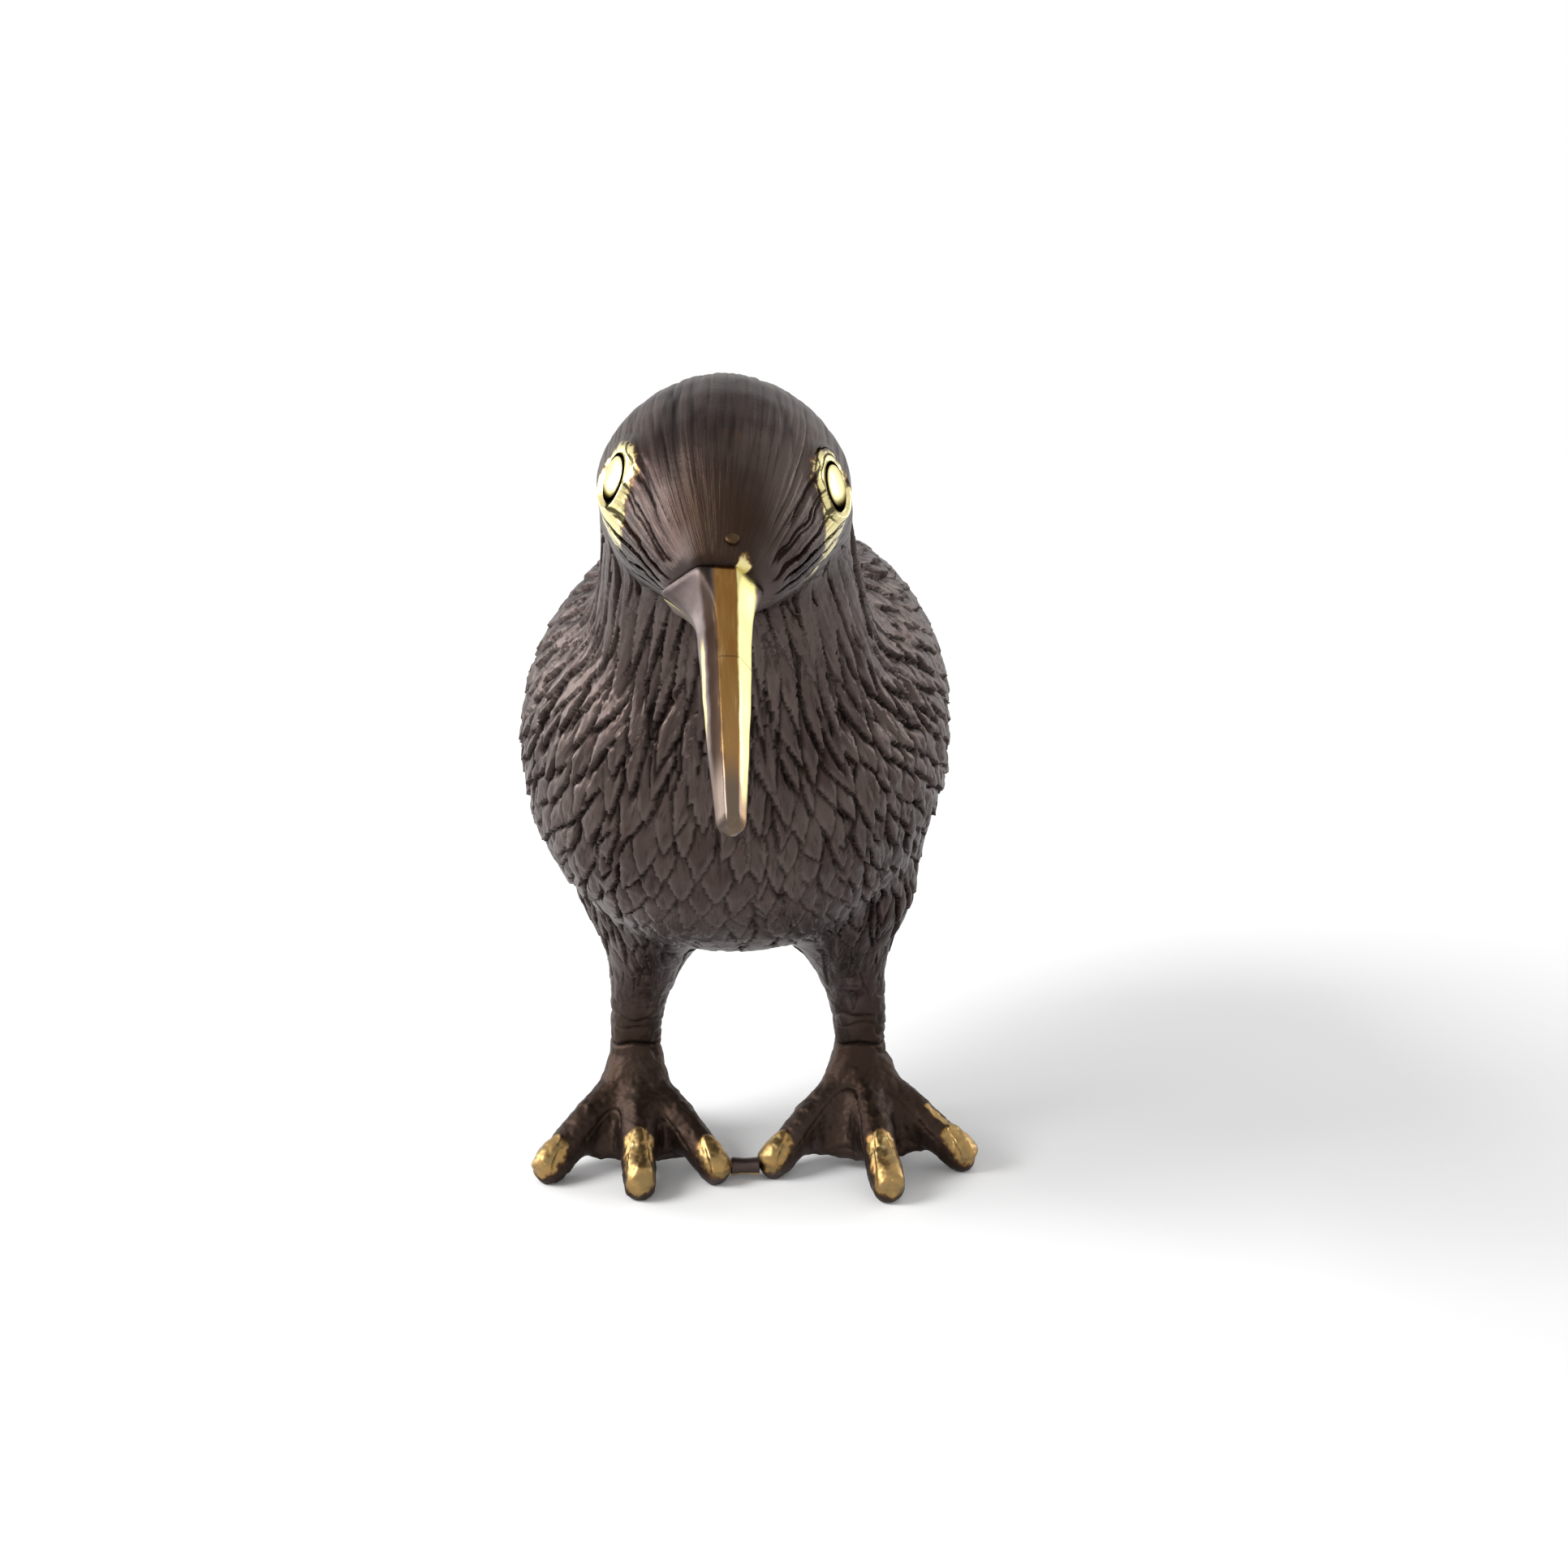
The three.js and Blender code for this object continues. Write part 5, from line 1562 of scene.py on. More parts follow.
class Fittings:
    """The small pieces: eyes, bill pin, tie bar, and the pins and plug that the chasing hid."""

    EYE_PROFILE = (
        (0.0, -5.0), (1.2, -5.0), (1.4, -4.8), (1.4, -1.0), (2.98, -1.0), (3.0, -0.05),
        (2.95, 0.06), (2.88, 0.06), (2.78, -0.16), (2.6, -0.16), (2.5, 0.16), (2.4, 0.24),
        (2.1, 0.32), (1.7, 0.4), (1.2, 0.47), (0.6, 0.52), (0.0, 0.54),
    )
    FLUSH = 1.1
    EYE_STEPS = 72
    PIN_STEPS = 32
    BAR_SIDES = 40

    def __init__(self, form: BirdForm) -> None:
        """Keeps the form that the pieces sit in."""
        self.form = form
        self.sizes = form.sizes

    def lathe(self, profile: Sequence[tuple[float, float]], point: Vector, axis: Vector, steps: int) -> BMesh:
        """Spins a profile round an axis.

        Args:
            profile: Radius and height of each corner, from the bottom up.
            point: Where height 0 lies.
            axis: The direction of height.
            steps: Steps of the turn.

        Returns:
            A closed bmesh.
        """
        bm = bmesh.new()
        verts = [bm.verts.new((radius, 0.0, height)) for radius, height in profile]
        edges = [bm.edges.new(pair) for pair in zip(verts, verts[1:])]
        about = {"cent": (0, 0, 0), "axis": (0, 0, 1), "angle": 2 * math.pi}
        bmesh.ops.spin(bm, geom=verts + edges, steps=steps, use_merge=True, **about)
        bmesh.ops.remove_doubles(bm, verts=bm.verts, dist=1e-4)
        turn = axis.to_track_quat("Z", "Y").to_matrix().to_4x4()
        bmesh.ops.transform(bm, matrix=Matrix.Translation(point) @ turn, verts=bm.verts)
        return bm

    def eye(self, side: int) -> Thing:
        """Builds one eye: a low dome with an engraved ring and a painted shade half-moon at its lower edge,
        on a shank.
        """
        point, outward = eye_place(self.form, side)
        bm = self.lathe(self.EYE_PROFILE, point, outward, self.EYE_STEPS)
        shade(bm, 1.2)
        made = to_object(bm, "left_eye_brass" if side > 0 else "right_eye_brass")
        surface = Surface(made.data)
        gap, out, away = surface.round_axis(point, outward)
        ring = ease(2.40, 2.50, away) * ease(3.0, 2.9, away)
        # Painted shade: a dark half-moon on the dome's lower edge, stored with the engraved ring.
        painted_shade_crescent = 0.95 * ease(0.3, 2.2, -gap[:, 2]) * ease(1.2, 1.9, away)
        surface.store("groove", np.clip(np.maximum(ring, painted_shade_crescent) + (out < -0.3), 0.0, 1.0))
        return to_metres(made)

    def bill_pin(self) -> Thing:
        """Builds the pin that holds the bill, its peened end standing in the forehead."""
        z = self.sizes
        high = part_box("bill_pin")[1][2] / MM
        seat, lift = pitched(z.muzzle_tilt)
        middle = z.muzzle_centre - seat * z.bill_pin_back + ACROSS * z.bill_pin_side
        bottom = -z.tenon_radius - 1.0
        top = (high - middle.z) / lift.z - 0.45
        radius = z.bill_pin_radius
        foot = ((0.0, bottom), (radius - 0.15, bottom), (radius, bottom + 0.15))
        peened = ((radius, top - 0.4), (radius * 1.05, top - 0.2), (radius * 0.95, top - 0.05))
        profile = (*foot, *peened, (radius * 0.6, top + 0.02), (0.0, top + 0.04))
        bm = self.lathe(profile, middle, lift, self.PIN_STEPS)
        shade(bm, 1.0)
        return to_metres(to_object(bm, "bill_pin_brass"))

    def tie_bar(self) -> Thing:
        """Builds the bar between the inner toes, a little waisted, as it was cast."""
        low, high = (Vector(corner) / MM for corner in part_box("toe_bridge"))
        z = self.sizes
        y = (low.y + high.y) / 2
        stations = []
        for t in np.linspace(0.0, 1.0, 25):
            waist = 1.0 - 0.12 * math.sin(math.pi * t)
            edge = 1.0 - 1.8 * max(0.0, abs(2.0 * t - 1.0) - 0.9)
            radius = z.bridge_radius * waist * edge
            centre = Vector((mix(low.x + 0.15, high.x - 0.15, t), y, z.bridge_height))
            stations.append(Station(centre, UP, radius, radius * 0.95, radius, across=BACK, squareness=2.6))
        bm = bmesh.new()
        add_tube(bm, stations, self.BAR_SIDES)
        shade(bm, 0.6)
        made = to_object(bm, "tie_bar_bronze")
        surface = Surface(made.data)
        surface.push(0.08 * grid_noise(surface.points, 1.5, 51))
        count = len(surface.points)
        below, ahead = z.bridge_height - surface.points[:, 2], y - surface.points[:, 1]
        surface.store("rubbed", 0.75 * ease(0.1, 0.8, below) * ease(0.2, 0.9, ahead))
        surface.store("polish", np.full(count, 0.4))
        for name in ("groove", "rim"):
            surface.store(name, np.zeros(count))
        for name in ("plume", "strand"):
            surface.store(name, np.zeros((count, 3)))
        return to_metres(made)

    def hidden_pin(self, node: str, axis: Vector, both_ends: bool) -> Thing:
        """Builds a pin whose filed end lies just under the cast feathers.

        Args:
            node: The CAD node that it stands for.
            axis: The direction of its outer end.
            both_ends: Whether the other end is an outer one too.

        Returns:
            The piece.
        """
        bm = bmesh.new()
        bm.from_mesh(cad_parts[node].data)
        bmesh.ops.remove_doubles(bm, verts=bm.verts, dist=1e-6)
        along = [vert.co.dot(axis) for vert in bm.verts]
        middle = (min(along) + max(along)) / 2
        outer = min(value for value in along if value > middle) - self.FLUSH * MM
        inner = max(value for value in along if value < middle) + self.FLUSH * MM
        for vert, value in zip(bm.verts, along):
            if value > outer:
                vert.co += axis * (outer - value)
            elif both_ends and value < inner:
                vert.co += axis * (inner - value)
        shade(bm, 0.6)
        return to_object(bm, f"{node}_bronze")

    def build(self) -> dict[str, Thing]:
        """Builds all the small pieces.

        Returns:
            The pieces by the name of the CAD node that each stands for.
        """
        pins = {
            "neck_pin": -pitched(self.sizes.neck_seam_tilt)[0],
            "core_pin_back": UP,
            "core_pin_rump": BACK,
            "core_pin_left": ACROSS,
            "core_pin_right": -ACROSS,
            "left_hip_pin": ACROSS,
            "right_hip_pin": -ACROSS,
            "left_ankle_pin": ACROSS,
            "right_ankle_pin": ACROSS,
            "core_hole_plug": -UP,
        }
        pieces = {node: self.hidden_pin(node, axis, "ankle" in node) for node, axis in pins.items()}
        pieces["left_eye"] = self.eye(1)
        pieces["right_eye"] = self.eye(-1)
        pieces["bill_pin"] = self.bill_pin()
        pieces["toe_bridge"] = self.tie_bar()
        return pieces


def linear(code: str) -> tuple[float, float, float, float]:
    """Turns an sRGB hex colour into Blender's linear numbers."""
    parts = [int(code[i : i + 2], 16) / 255 for i in (1, 3, 5)]
    values = [c / 12.92 if c <= 0.04045 else ((c + 0.055) / 1.055) ** 2.4 for c in parts]
    return (*values, 1.0)


Value = Socket | float
Colour = Socket | str
Links = dict[str | int, object]


def add_node(tree: NodeTree, kind: str, links: Links | None = None, **settings: object) -> bpy.types.Node:
    """Adds a node with its settings and links.

    Args:
        tree: The node tree.
        kind: The node's type, without the leading ShaderNode.
        links: An output socket or a plain value for each input, by its name or number.
        settings: The node's properties.

    Returns:
        The new node.
    """
    node = tree.nodes.new("ShaderNode" + kind)
    for key, value in settings.items():
        setattr(node, key, value)
    for key, value in (links or {}).items():
        socket = node.inputs[key]
        if isinstance(value, Socket):
            tree.links.new(value, socket)
        else:
            socket.default_value = value
    return node


def bare_tree(block: Material | bpy.types.World) -> NodeTree:
    """Returns the emptied node tree of a material or world."""
    block.use_nodes = True
    block.node_tree.nodes.clear()
    return block.node_tree


class Finish:
    """A material under construction, with the few sums that the finishes need."""

    WHITE = "#ffffff"
    SOOT = "#2a201a"

    def __init__(self, name: str) -> None:
        """Starts an empty material on object coordinates."""
        self.material = bpy.data.materials.new(name)
        self.tree = bare_tree(self.material)
        self.object_place = add_node(self.tree, "TexCoord").outputs["Object"]

    def noise(self, size: float, detail: float, place: Value | None = None, rough: float = 0.5) -> Value:
        """Returns a noise from 0 to 1.

        Args:
            size: Size of its spots, in millimetres.
            detail: How many finer layers it has.
            place: Coordinates in millimetres; left out, the object's own.
            rough: Strength of the finer layers.
        """
        scale = 1.0 / size if place else 1.0 / (size * MM)
        links = {"Vector": place or self.object_place, "Scale": scale, "Detail": detail, "Roughness": rough}
        return add_node(self.tree, "TexNoise", links).outputs["Fac"]

    def attribute(self, name: str, vector: bool = False) -> Value:
        """Returns a number or a vector that the mesh stores for each point."""
        return add_node(self.tree, "Attribute", attribute_name=name).outputs["Vector" if vector else "Fac"]

    def parts(self, vector: Value) -> tuple[Value, Value, Value]:
        """Takes a vector apart."""
        node = add_node(self.tree, "SeparateXYZ", {0: vector})
        return node.outputs[0], node.outputs[1], node.outputs[2]

    def joined(self, x: Value, y: Value, z: Value) -> Value:
        """Puts a vector together."""
        return add_node(self.tree, "CombineXYZ", {0: x, 1: y, 2: z}).outputs[0]

    def sum(self, kind: str, a: Value, b: Value = 0.0, c: Value = 0.0) -> Value:
        """Returns the result of a math node."""
        return add_node(self.tree, "Math", {0: a, 1: b, 2: c}, operation=kind).outputs[0]

    def times(self, value: Value, factor: Value) -> Value:
        """Returns a product."""
        return self.sum("MULTIPLY", value, factor)

    def scaled(self, value: Value, factor: float, offset: Value) -> Value:
        """Returns a value times a factor, plus an offset."""
        return self.sum("MULTIPLY_ADD", value, factor, offset)

    def less(self, value: Value, other: Value) -> Value:
        """Returns a difference."""
        return self.sum("SUBTRACT", value, other)

    def most(self, value: Value, other: Value) -> Value:
        """Returns the greater of two values."""
        return self.sum("MAXIMUM", value, other)

    def step(self, value: Value, low: float, high: float, bottom: float = 0.0, top: float = 1.0) -> Value:
        """Goes smoothly from bottom at low to top at high."""
        links = {"Value": value, "From Min": low, "From Max": high}
        share = add_node(self.tree, "MapRange", links, interpolation_type="SMOOTHSTEP").outputs[0]
        if (bottom, top) == (0.0, 1.0):
            return share
        return self.scaled(share, top - bottom, bottom)

    def band(self, value: Value, low: float, high: float, soft: float) -> Value:
        """Returns 1 between low and high and 0 outside, with soft edges."""
        rise = self.step(value, low - soft, low + soft)
        return self.times(rise, self.step(value, high + soft, high - soft))

    def blend(self, share: Value, under: Colour, over: Colour) -> Value:
        """Returns a colour a share of the way from under to over."""
        under, over = (linear(c) if isinstance(c, str) else c for c in (under, over))
        return add_node(self.tree, "Mix", {"Factor": share, 6: under, 7: over}, data_type="RGBA").outputs[2]

    def layered(self, ground: Colour, *layers: tuple[Value, Colour]) -> Value:
        """Lays colours over a ground, one after the other.

        Args:
            ground: The colour at the bottom.
            layers: For each layer how much of it covers what lies below, and its colour.

        Returns:
            The colour on top.
        """
        for share, colour in layers:
            ground = self.blend(share, ground, colour)
        return ground

    def bump(self, height: Value, depth: float, before: Value | None = None) -> Value:
        """Returns the normal of a relief.

        Args:
            height: Its height from 0 to 1.
            depth: What a height of 1 stands for, in millimetres.
            before: The normal of a coarser relief under it.
        """
        links: Links = {"Height": height, "Strength": 1.0, "Distance": depth * MM}
        if before:
            links["Normal"] = before
        return add_node(self.tree, "Bump", links).outputs[0]

    def done(self, colour: Value, metal: float, rough: Value, normal: Value, dull: Value = 0.0) -> Material:
        """Adds the shader.

        Args:
            colour: The base colour.
            metal: 1 for metal and 0 for the rest.
            rough: The roughness.
            normal: The normal of the finest relief.
            dull: Where it stays dark at a flat angle too.

        Returns:
            The finished material.
        """
        links = {
            "Base Color": colour,
            "Metallic": metal,
            "Roughness": rough,
            "Normal": normal,
            "Specular Tint": self.blend(dull, self.WHITE, self.SOOT),
        }
        shader = add_node(self.tree, "BsdfPrincipled", links)
        add_node(self.tree, "OutputMaterial", {"Surface": shader.outputs[0]})
        return self.material


@dataclass(frozen=True)
class PatinatedBronze:
    """Cast bronze, chemically browned and waxed: dark in the cuts, brass where hands rubbed it, with painted
    highlights along the feathers' tips and a painted sheen on the cheeks and the belly's underside.
    """

    name: str = "browned_cast_bronze"
    brown: str = "#3c312e"
    pale: str = "#544945"
    groove: str = "#17110f"
    # Colour of the painted highlight along the feathers' tips.
    rim: str = "#665a56"
    strand: str = "#2a201d"
    rust: str = "#523c2e"
    brow: str = "#33261d"
    # Colour of the painted sheen on the cheeks and of the painted floor reflection on the belly's underside.
    cheek: str = "#514846"
    brass: str = "#8c6230"
    tarnish: str = "#543a1f"
    bright: str = "#e8da9e"
    rough: float = 0.40
    rubbed_rough: float = 0.25

    def build(self) -> Material:
        """Returns the material, built from nodes."""
        f = Finish(self.name)
        cloud = f.noise(11.0, 4.0)
        fine = f.noise(0.55, 4.0, rough=0.6)
        groove, polish, brow = (f.attribute(mark) for mark in ("groove", "polish", "brow"))
        luck = f.parts(f.attribute("plume", vector=True))[2]
        strand = f.attribute("strand", vector=True)
        barbs = f.noise(0.42, 2.0, place=strand)
        edge = f.scaled(f.less(f.noise(1.1, 4.0), 0.5), 0.5, f.attribute("rubbed"))
        worn = f.step(edge, 0.40, 0.62)
        heart = f.most(f.times(f.step(edge, 0.46, 0.58), polish), f.times(f.step(edge, 0.84, 0.98), 0.6))
        dim = f.times(f.step(f.noise(1.7, 3.0), 0.42, 0.62), f.less(0.85, polish))
        metal = f.layered(self.brass, (dim, self.tarnish), (heart, self.bright))
        lines = f.noise(1.9, 1.0, place=strand)
        thick = f.step(f.noise(2.6, 2.0), 0.35, 0.65, 0.006, 0.040)
        thin = f.step(f.sum("ABSOLUTE", f.less(lines, 0.55)), 0.016, 0.004)
        wide = f.step(f.less(f.sum("ABSOLUTE", f.less(lines, 0.42)), thick), 0.010, 0.0)
        stroke = f.times(f.most(thin, wide), f.attribute("stroke"))
        pits = f.most(f.step(fine, 0.34, 0.24), f.times(stroke, 1.7))
        dark = f.most(f.step(groove, 0.12, 0.9), f.times(pits, 0.5))
        tone = f.layered(
            self.brown,
            (f.step(cloud, 0.35, 0.68), self.pale),
            (f.step(luck, 0.2, 1.0, 0.0, 0.35), self.pale),
            (f.step(f.noise(3.2, 3.0), 0.62, 0.78, 0.0, 0.4), self.rust),
            (f.step(barbs, 0.52, 0.68, 0.0, 0.5), self.strand),
            (f.times(brow, 0.8), self.brow),
            # Painted sheen on the cheeks and painted floor reflection on the belly's underside.
            (f.times(f.attribute("cheek"), 0.75), self.cheek),
            # Painted highlight along the feathers' tips.
            (f.times(f.attribute("rim"), 0.45), self.rim),
            (worn, metal),
            (f.times(dark, 0.9), self.groove),
        )
        rough = f.scaled(brow, 0.14, f.scaled(cloud, 0.16, self.rough - 0.08))
        rough = f.scaled(worn, self.rubbed_rough - self.rough, rough)
        normal = f.bump(fine, 0.035, f.bump(barbs, 0.08))
        return f.done(tone, 1.0, rough, normal, f.times(f.step(groove, 0.5, 1.0), 0.7))


@dataclass(frozen=True)
class PolishedBrass:
    """Brass polished by cloth: nearly mirror bright, with the brown left in engraved lines, and a painted
    shade half-moon of the same brown on each eye's lower edge.
    """

    name: str = "polished_brass"
    brass: str = "#e2d597"
    warm: str = "#c9aa6b"
    # Brown of the engraved lines, also the colour of the eyes' painted shade half-moon.
    groove: str = "#15100c"
    rough: float = 0.33

    def build(self) -> Material:
        """Returns the material, built from nodes."""
        f = Finish(self.name)
        cloud = f.noise(1.8, 3.0)
        groove = f.attribute("groove")
        tone = f.layered(self.brass, (f.step(cloud, 0.45, 0.75, 0.0, 0.7), self.warm), (groove, self.groove))
        rough = f.scaled(cloud, 0.14, self.rough - 0.05)
        return f.done(tone, 1.0, rough, f.bump(f.noise(0.25, 2.0), 0.012), groove)


@dataclass(frozen=True)
class FiledBillBrass:
    """The bill's brass: a golden ridge, one bright filed flank, one still grey with wax and brown, with a
    painted shadow band beside the ridge and painted highlight lines on partly polished edges.
    """

    name: str = "filed_bill_brass"
    grey: str = "#5f5554"
    dull: str = "#463d3a"
    shadow: str = "#302824"
    ridge_dark: str = "#7d582b"
    ridge: str = "#8f6c42"
    bright: str = "#d9ce8a"
    yellow: str = "#cdbb7d"
    tip: str = "#5e544e"
    below: str = "#6d6058"
    line: str = "#2a201a"
    rough: float = 0.26

    def build(self) -> Material:
        """Returns the material, built from nodes."""
        f = Finish(self.name)
        x, t, up = f.parts(f.attribute("bill", vector=True))
        streak = f.noise(0.5, 3.0, place=f.joined(x, f.times(t, 2.2), up))
        x = f.sum("ADD", x, f.times(f.less(f.noise(2.5, 2.0), 0.5), 0.35))
        root = f.step(t, 0.3, 0.0)
        left_edge = f.scaled(root, -0.5, x)
        # Painted shadow: a dark band along the left edge of the ridge.
        band = f.band(f.scaled(t, -0.45, f.scaled(root, 0.35, x)), -2.1, -0.8, 0.3)
        # Partly polished brass, partly painted highlight: a pale line near the left flank's edge, and one low
        # on the left flank near the bill's base.
        pale = f.times(f.band(x, -2.45, -2.15, 0.14), f.band(t, 0.28, 0.66, 0.06))
        polished_lip_highlight = f.times(f.band(up, -2.0, -1.0, 0.25), f.step(t, 0.30, 0.20))
        pale = f.most(pale, f.times(polished_lip_highlight, f.step(x, -2.3, -2.8)))
        bright = f.times(f.step(f.scaled(t, 0.5, x), 1.6, 1.8), f.step(t, 0.93, 0.84))
        bright = f.times(f.times(bright, f.step(up, -1.8, -0.6)), f.step(left_edge, 3.6, 3.0))
        end = f.times(f.step(t, 0.72, 0.88), f.step(x, 1.5, 0.9, 0.45, 1.0))
        line = f.times(f.band(t, 0.368, 0.372, 0.003), f.step(x, -1.0, -0.4))
        ridge = f.layered(
            self.ridge_dark,
            (f.step(t, 0.3, 0.75), self.ridge),
            (f.step(streak, 0.35, 0.7, 0.0, 0.55), self.ridge),
            (f.step(streak, 0.62, 0.8, 0.0, 0.5), self.yellow),
        )
        tone = f.layered(
            self.dull,
            (f.noise(1.4, 3.0), self.grey),
            (f.step(x, -1.15, -0.55), ridge),
            (band, self.shadow),
            # Painted highlight lines, on partly polished brass.
            (f.times(pale, 0.8), self.yellow),
            (bright, self.bright),
            (f.step(left_edge, 3.0, 3.6), self.dull),
            (f.times(f.step(up, -0.9, -1.8), 0.85), self.below),
            (f.times(end, 0.85), self.tip),
            (f.times(line, 0.7), self.line),
        )
        rough = f.scaled(f.step(x, -0.9, -1.4), 0.14, f.scaled(streak, 0.14, self.rough - 0.05))
        rough = f.scaled(f.step(x, 1.5, 1.8), 0.12, rough)
        # The painted shadow band, and the tip's left side, stay dark at a flat angle too.
        waxed = f.most(band, f.times(f.step(t, 0.62, 0.86), f.step(x, 0.4, -0.4)))
        return f.done(tone, 1.0, rough, f.bump(streak, 0.02), f.times(waxed, 0.62))


@dataclass(frozen=True)
class BareBronze:
    """Bronze rod as it is cut from the bar: warm, finely grained."""

    name: str = "bare_bronze_rod"
    metal: str = "#a9784a"
    dark: str = "#6b4a30"
    rough: float = 0.36

    def build(self) -> Material:
        """Returns the material, built from nodes."""
        f = Finish(self.name)
        tone = f.blend(f.step(f.noise(1.6, 3.0), 0.4, 0.7), self.metal, self.dark)
        fine = f.noise(0.2, 2.0)
        return f.done(tone, 1.0, f.scaled(fine, 0.2, self.rough - 0.1), f.bump(fine, 0.01))


@dataclass(frozen=True)
class FiredClay:
    """The baked clay and plaster of the core: matt, gritty, scorched in spots."""

    name: str = "fired_clay_core"
    clay: str = "#b08a6c"
    scorched: str = "#6e5443"
    rough: float = 0.92

    def build(self) -> Material:
        """Returns the material, built from nodes."""
        f = Finish(self.name)
        grit = f.noise(0.6, 4.0, rough=0.65)
        tone = f.blend(f.step(f.noise(9.0, 4.0), 0.45, 0.75), self.clay, self.scorched)
        return f.done(tone, 0.0, f.scaled(grit, 0.06, self.rough - 0.04), f.bump(grit, 0.25))


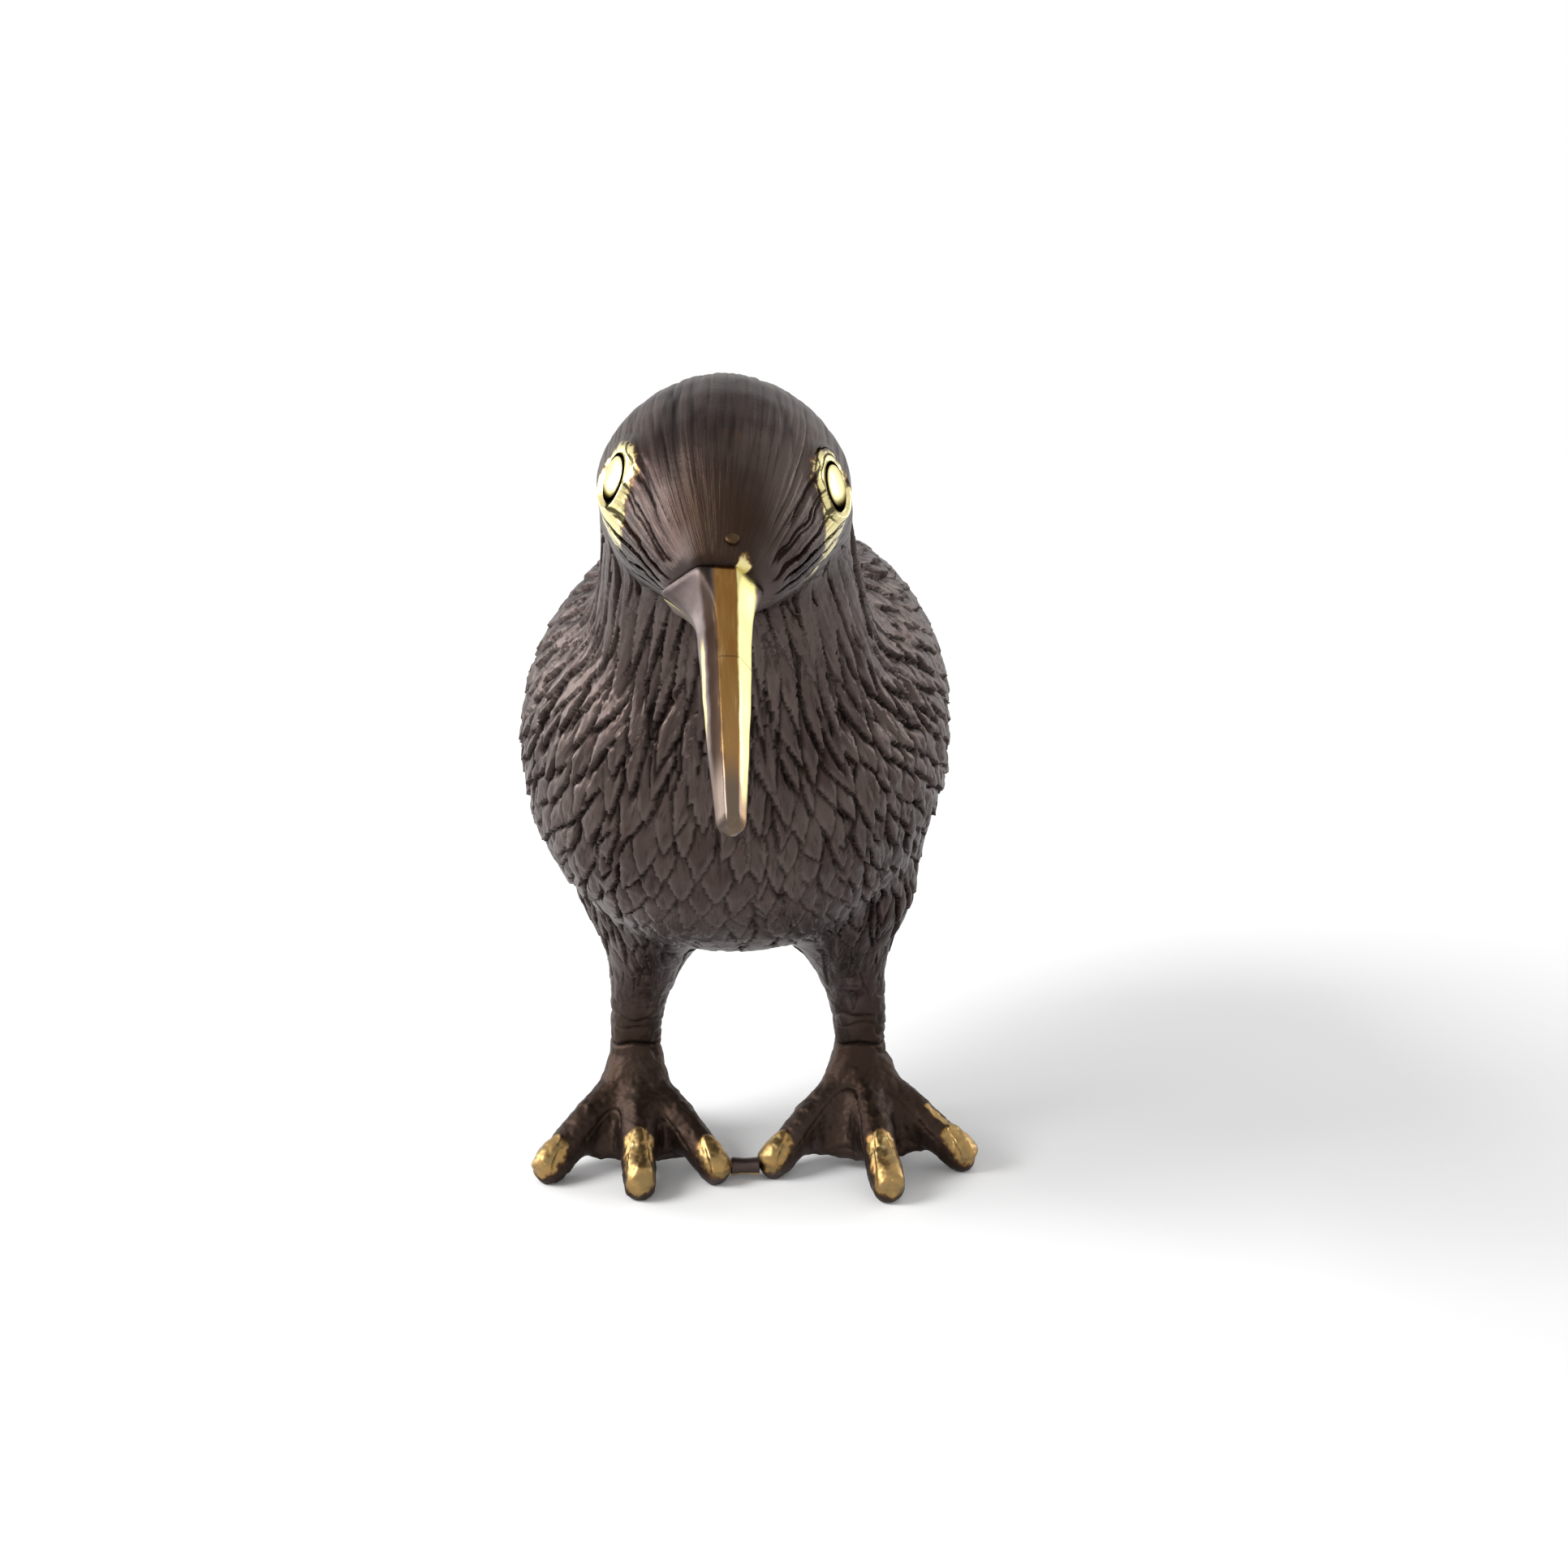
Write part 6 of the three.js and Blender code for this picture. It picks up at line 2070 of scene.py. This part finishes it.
class Studio:
    """A pale floor, soft lamps and the camera at the photograph's viewing angle."""

    def __init__(self) -> None:
        """Sets the view's numbers, fitted to the photograph."""
        self.elevation = math.radians(20.0)
        self.distance = 420.0
        self.sensor = 36.0
        self.focal = 3948 / 1932 * self.sensor
        self.target = Vector((3.9, 16.85, 53.0))
        self.lamp_aim = UP * 60.0
        self.lamps = (
            ("key_lamp", Vector((-570.0, -140.0, 480.0)), 340.0, 5.2),
            ("left_lamp", Vector((-500.0, 230.0, 150.0)), 260.0, 1.5),
            ("right_lamp", Vector((500.0, 260.0, 170.0)), 260.0, 0.8),
        )
        self.paper = 0.85
        self.paper_ends = (0.16, 0.42)
        self.surround = 0.73

    def build_camera(self) -> None:
        """Adds the camera: level with the horizon, looking along +Y and down."""
        data = bpy.data.cameras.new("camera")
        data.sensor_width = self.sensor
        data.lens = self.focal
        data.clip_start = 0.01
        data.clip_end = 20.0
        camera = added("camera", data)
        back = pitched(-self.elevation)[0]
        camera.location = (self.target + back * self.distance) * MM
        camera.rotation_euler = (math.pi / 2 - self.elevation, 0.0, 0.0)
        bpy.context.scene.camera = camera

    def build_lamp(self, name: str, place: Vector, size: float, power: float) -> None:
        """Adds a soft square lamp that looks at the bird.

        Args:
            name: The lamp's name.
            place: Where it stands, in millimetres.
            size: Its side.
            power: Its watts.
        """
        data = bpy.data.lights.new(name, "AREA")
        data.size = size * MM
        data.energy = power
        lamp = added(name, data)
        lamp.location = place * MM
        aim = (self.lamp_aim - place).normalized()
        lamp.rotation_euler = aim.to_track_quat("-Z", "Y").to_euler()

    def seen(self, tree: NodeTree) -> Socket:
        """Returns 1 for what the camera sees, straight, mirrored or through something, and 0 for the rest."""
        rays = add_node(tree, "LightPath").outputs
        seen = rays["Is Camera Ray"]
        for other in ("Is Glossy Ray", "Is Transmission Ray"):
            seen = add_node(tree, "Math", {0: seen, 1: rays[other]}, operation="MAXIMUM").outputs[0]
        return seen

    def build_floor(self) -> None:
        """Adds the floor: white paper that keeps the bird's shadow and runs out into the surround."""
        bm = bmesh.new()
        bmesh.ops.create_circle(bm, cap_ends=True, radius=3.0, segments=96)
        floor = to_object(bm, "studio_floor")
        material = bpy.data.materials.new("matt_white_paper")
        tree = bare_tree(material)
        place = add_node(tree, "TexCoord").outputs["Object"]
        away = add_node(tree, "VectorMath", {0: place}, operation="LENGTH").outputs["Value"]
        near, end = self.paper_ends
        links = {"Value": away, "From Min": near, "From Max": end}
        far = add_node(tree, "MapRange", links, interpolation_type="SMOOTHSTEP").outputs[0]
        paper = add_node(tree, "BsdfDiffuse", {"Color": (self.paper, self.paper, self.paper, 1.0)})
        glow = add_node(tree, "Emission", {"Color": (1.0, 1.0, 1.0, 1.0), "Strength": 1.0})
        share = add_node(tree, "Math", {0: far, 1: self.seen(tree)}, operation="MULTIPLY").outputs[0]
        both = add_node(tree, "MixShader", {0: share, 1: paper.outputs[0], 2: glow.outputs[0]})
        add_node(tree, "OutputMaterial", {"Surface": both.outputs[0]})
        floor.data.materials.append(material)

    def build_world(self) -> None:
        """Sets a white surround that the metal mirrors, weaker where it only lights the floor."""
        world = bpy.data.worlds.new("white_surround")
        tree = bare_tree(world)
        links = {"Value": self.seen(tree), "To Min": self.surround, "To Max": 1.0}
        strength = add_node(tree, "MapRange", links)
        light = add_node(tree, "Background", {"Color": (1.0, 1.0, 1.0, 1.0), "Strength": strength.outputs[0]})
        add_node(tree, "OutputWorld", {"Surface": light.outputs[0]})
        bpy.context.scene.world = world

    def build(self) -> None:
        """Builds the camera, the surround, the floor and the lamps."""
        bpy.context.scene.view_settings.view_transform = "Standard"
        self.build_camera()
        self.build_world()
        self.build_floor()
        for lamp in self.lamps:
            self.build_lamp(*lamp)


CASTINGS = {
    "body_skin": "body_casting",
    "head_skin": "head_casting",
    "left_leg_skin": "left_leg",
    "right_leg_skin": "right_leg",
    "left_foot_skin": "left_foot",
    "right_foot_skin": "right_foot",
    "upper_bill_brass": "upper_bill",
    "lower_bill_brass": "lower_bill",
}


def place_piece(piece: Thing, node: str, finish: Material) -> None:
    """Gives a piece its finish and lets it stand for its CAD node.

    Args:
        piece: The piece.
        node: The CAD node.
        finish: Its material.
    """
    piece.data.materials.clear()
    piece.data.materials.append(finish)
    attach(piece, "root")
    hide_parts(node)
    log.info("%s stands for %s and rides root", piece.name, node)


def main() -> None:
    """Builds the bird, its finishes and the studio."""
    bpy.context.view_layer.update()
    Studio().build()
    bronze = PatinatedBronze().build()
    brass = PolishedBrass().build()
    waxed = PolishedBrass("waxed_brass", brass="#4e3c28", warm="#3b2c20", rough=0.40).build()
    filed = FiledBillBrass().build()
    bare = BareBronze().build()
    fitted = {"left_eye": brass, "right_eye": brass, "bill_pin": waxed, "toe_bridge": bronze}
    sizes = BirdSizes()
    skin = BirdSkin(sizes)
    for name, piece in skin.build().items():
        place_piece(piece, CASTINGS[name], bronze)
    for name, piece in Bill(sizes).build().items():
        place_piece(piece, CASTINGS[name], filed)
    for node, piece in Fittings(skin.form).build().items():
        place_piece(piece, node, fitted.get(node, bare))
    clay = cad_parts["clay_core"]
    for material_slot in clay.material_slots:
        material_slot.link = "OBJECT"
        material_slot.material = FiredClay().build()


if __name__ == "__main__":
    main()
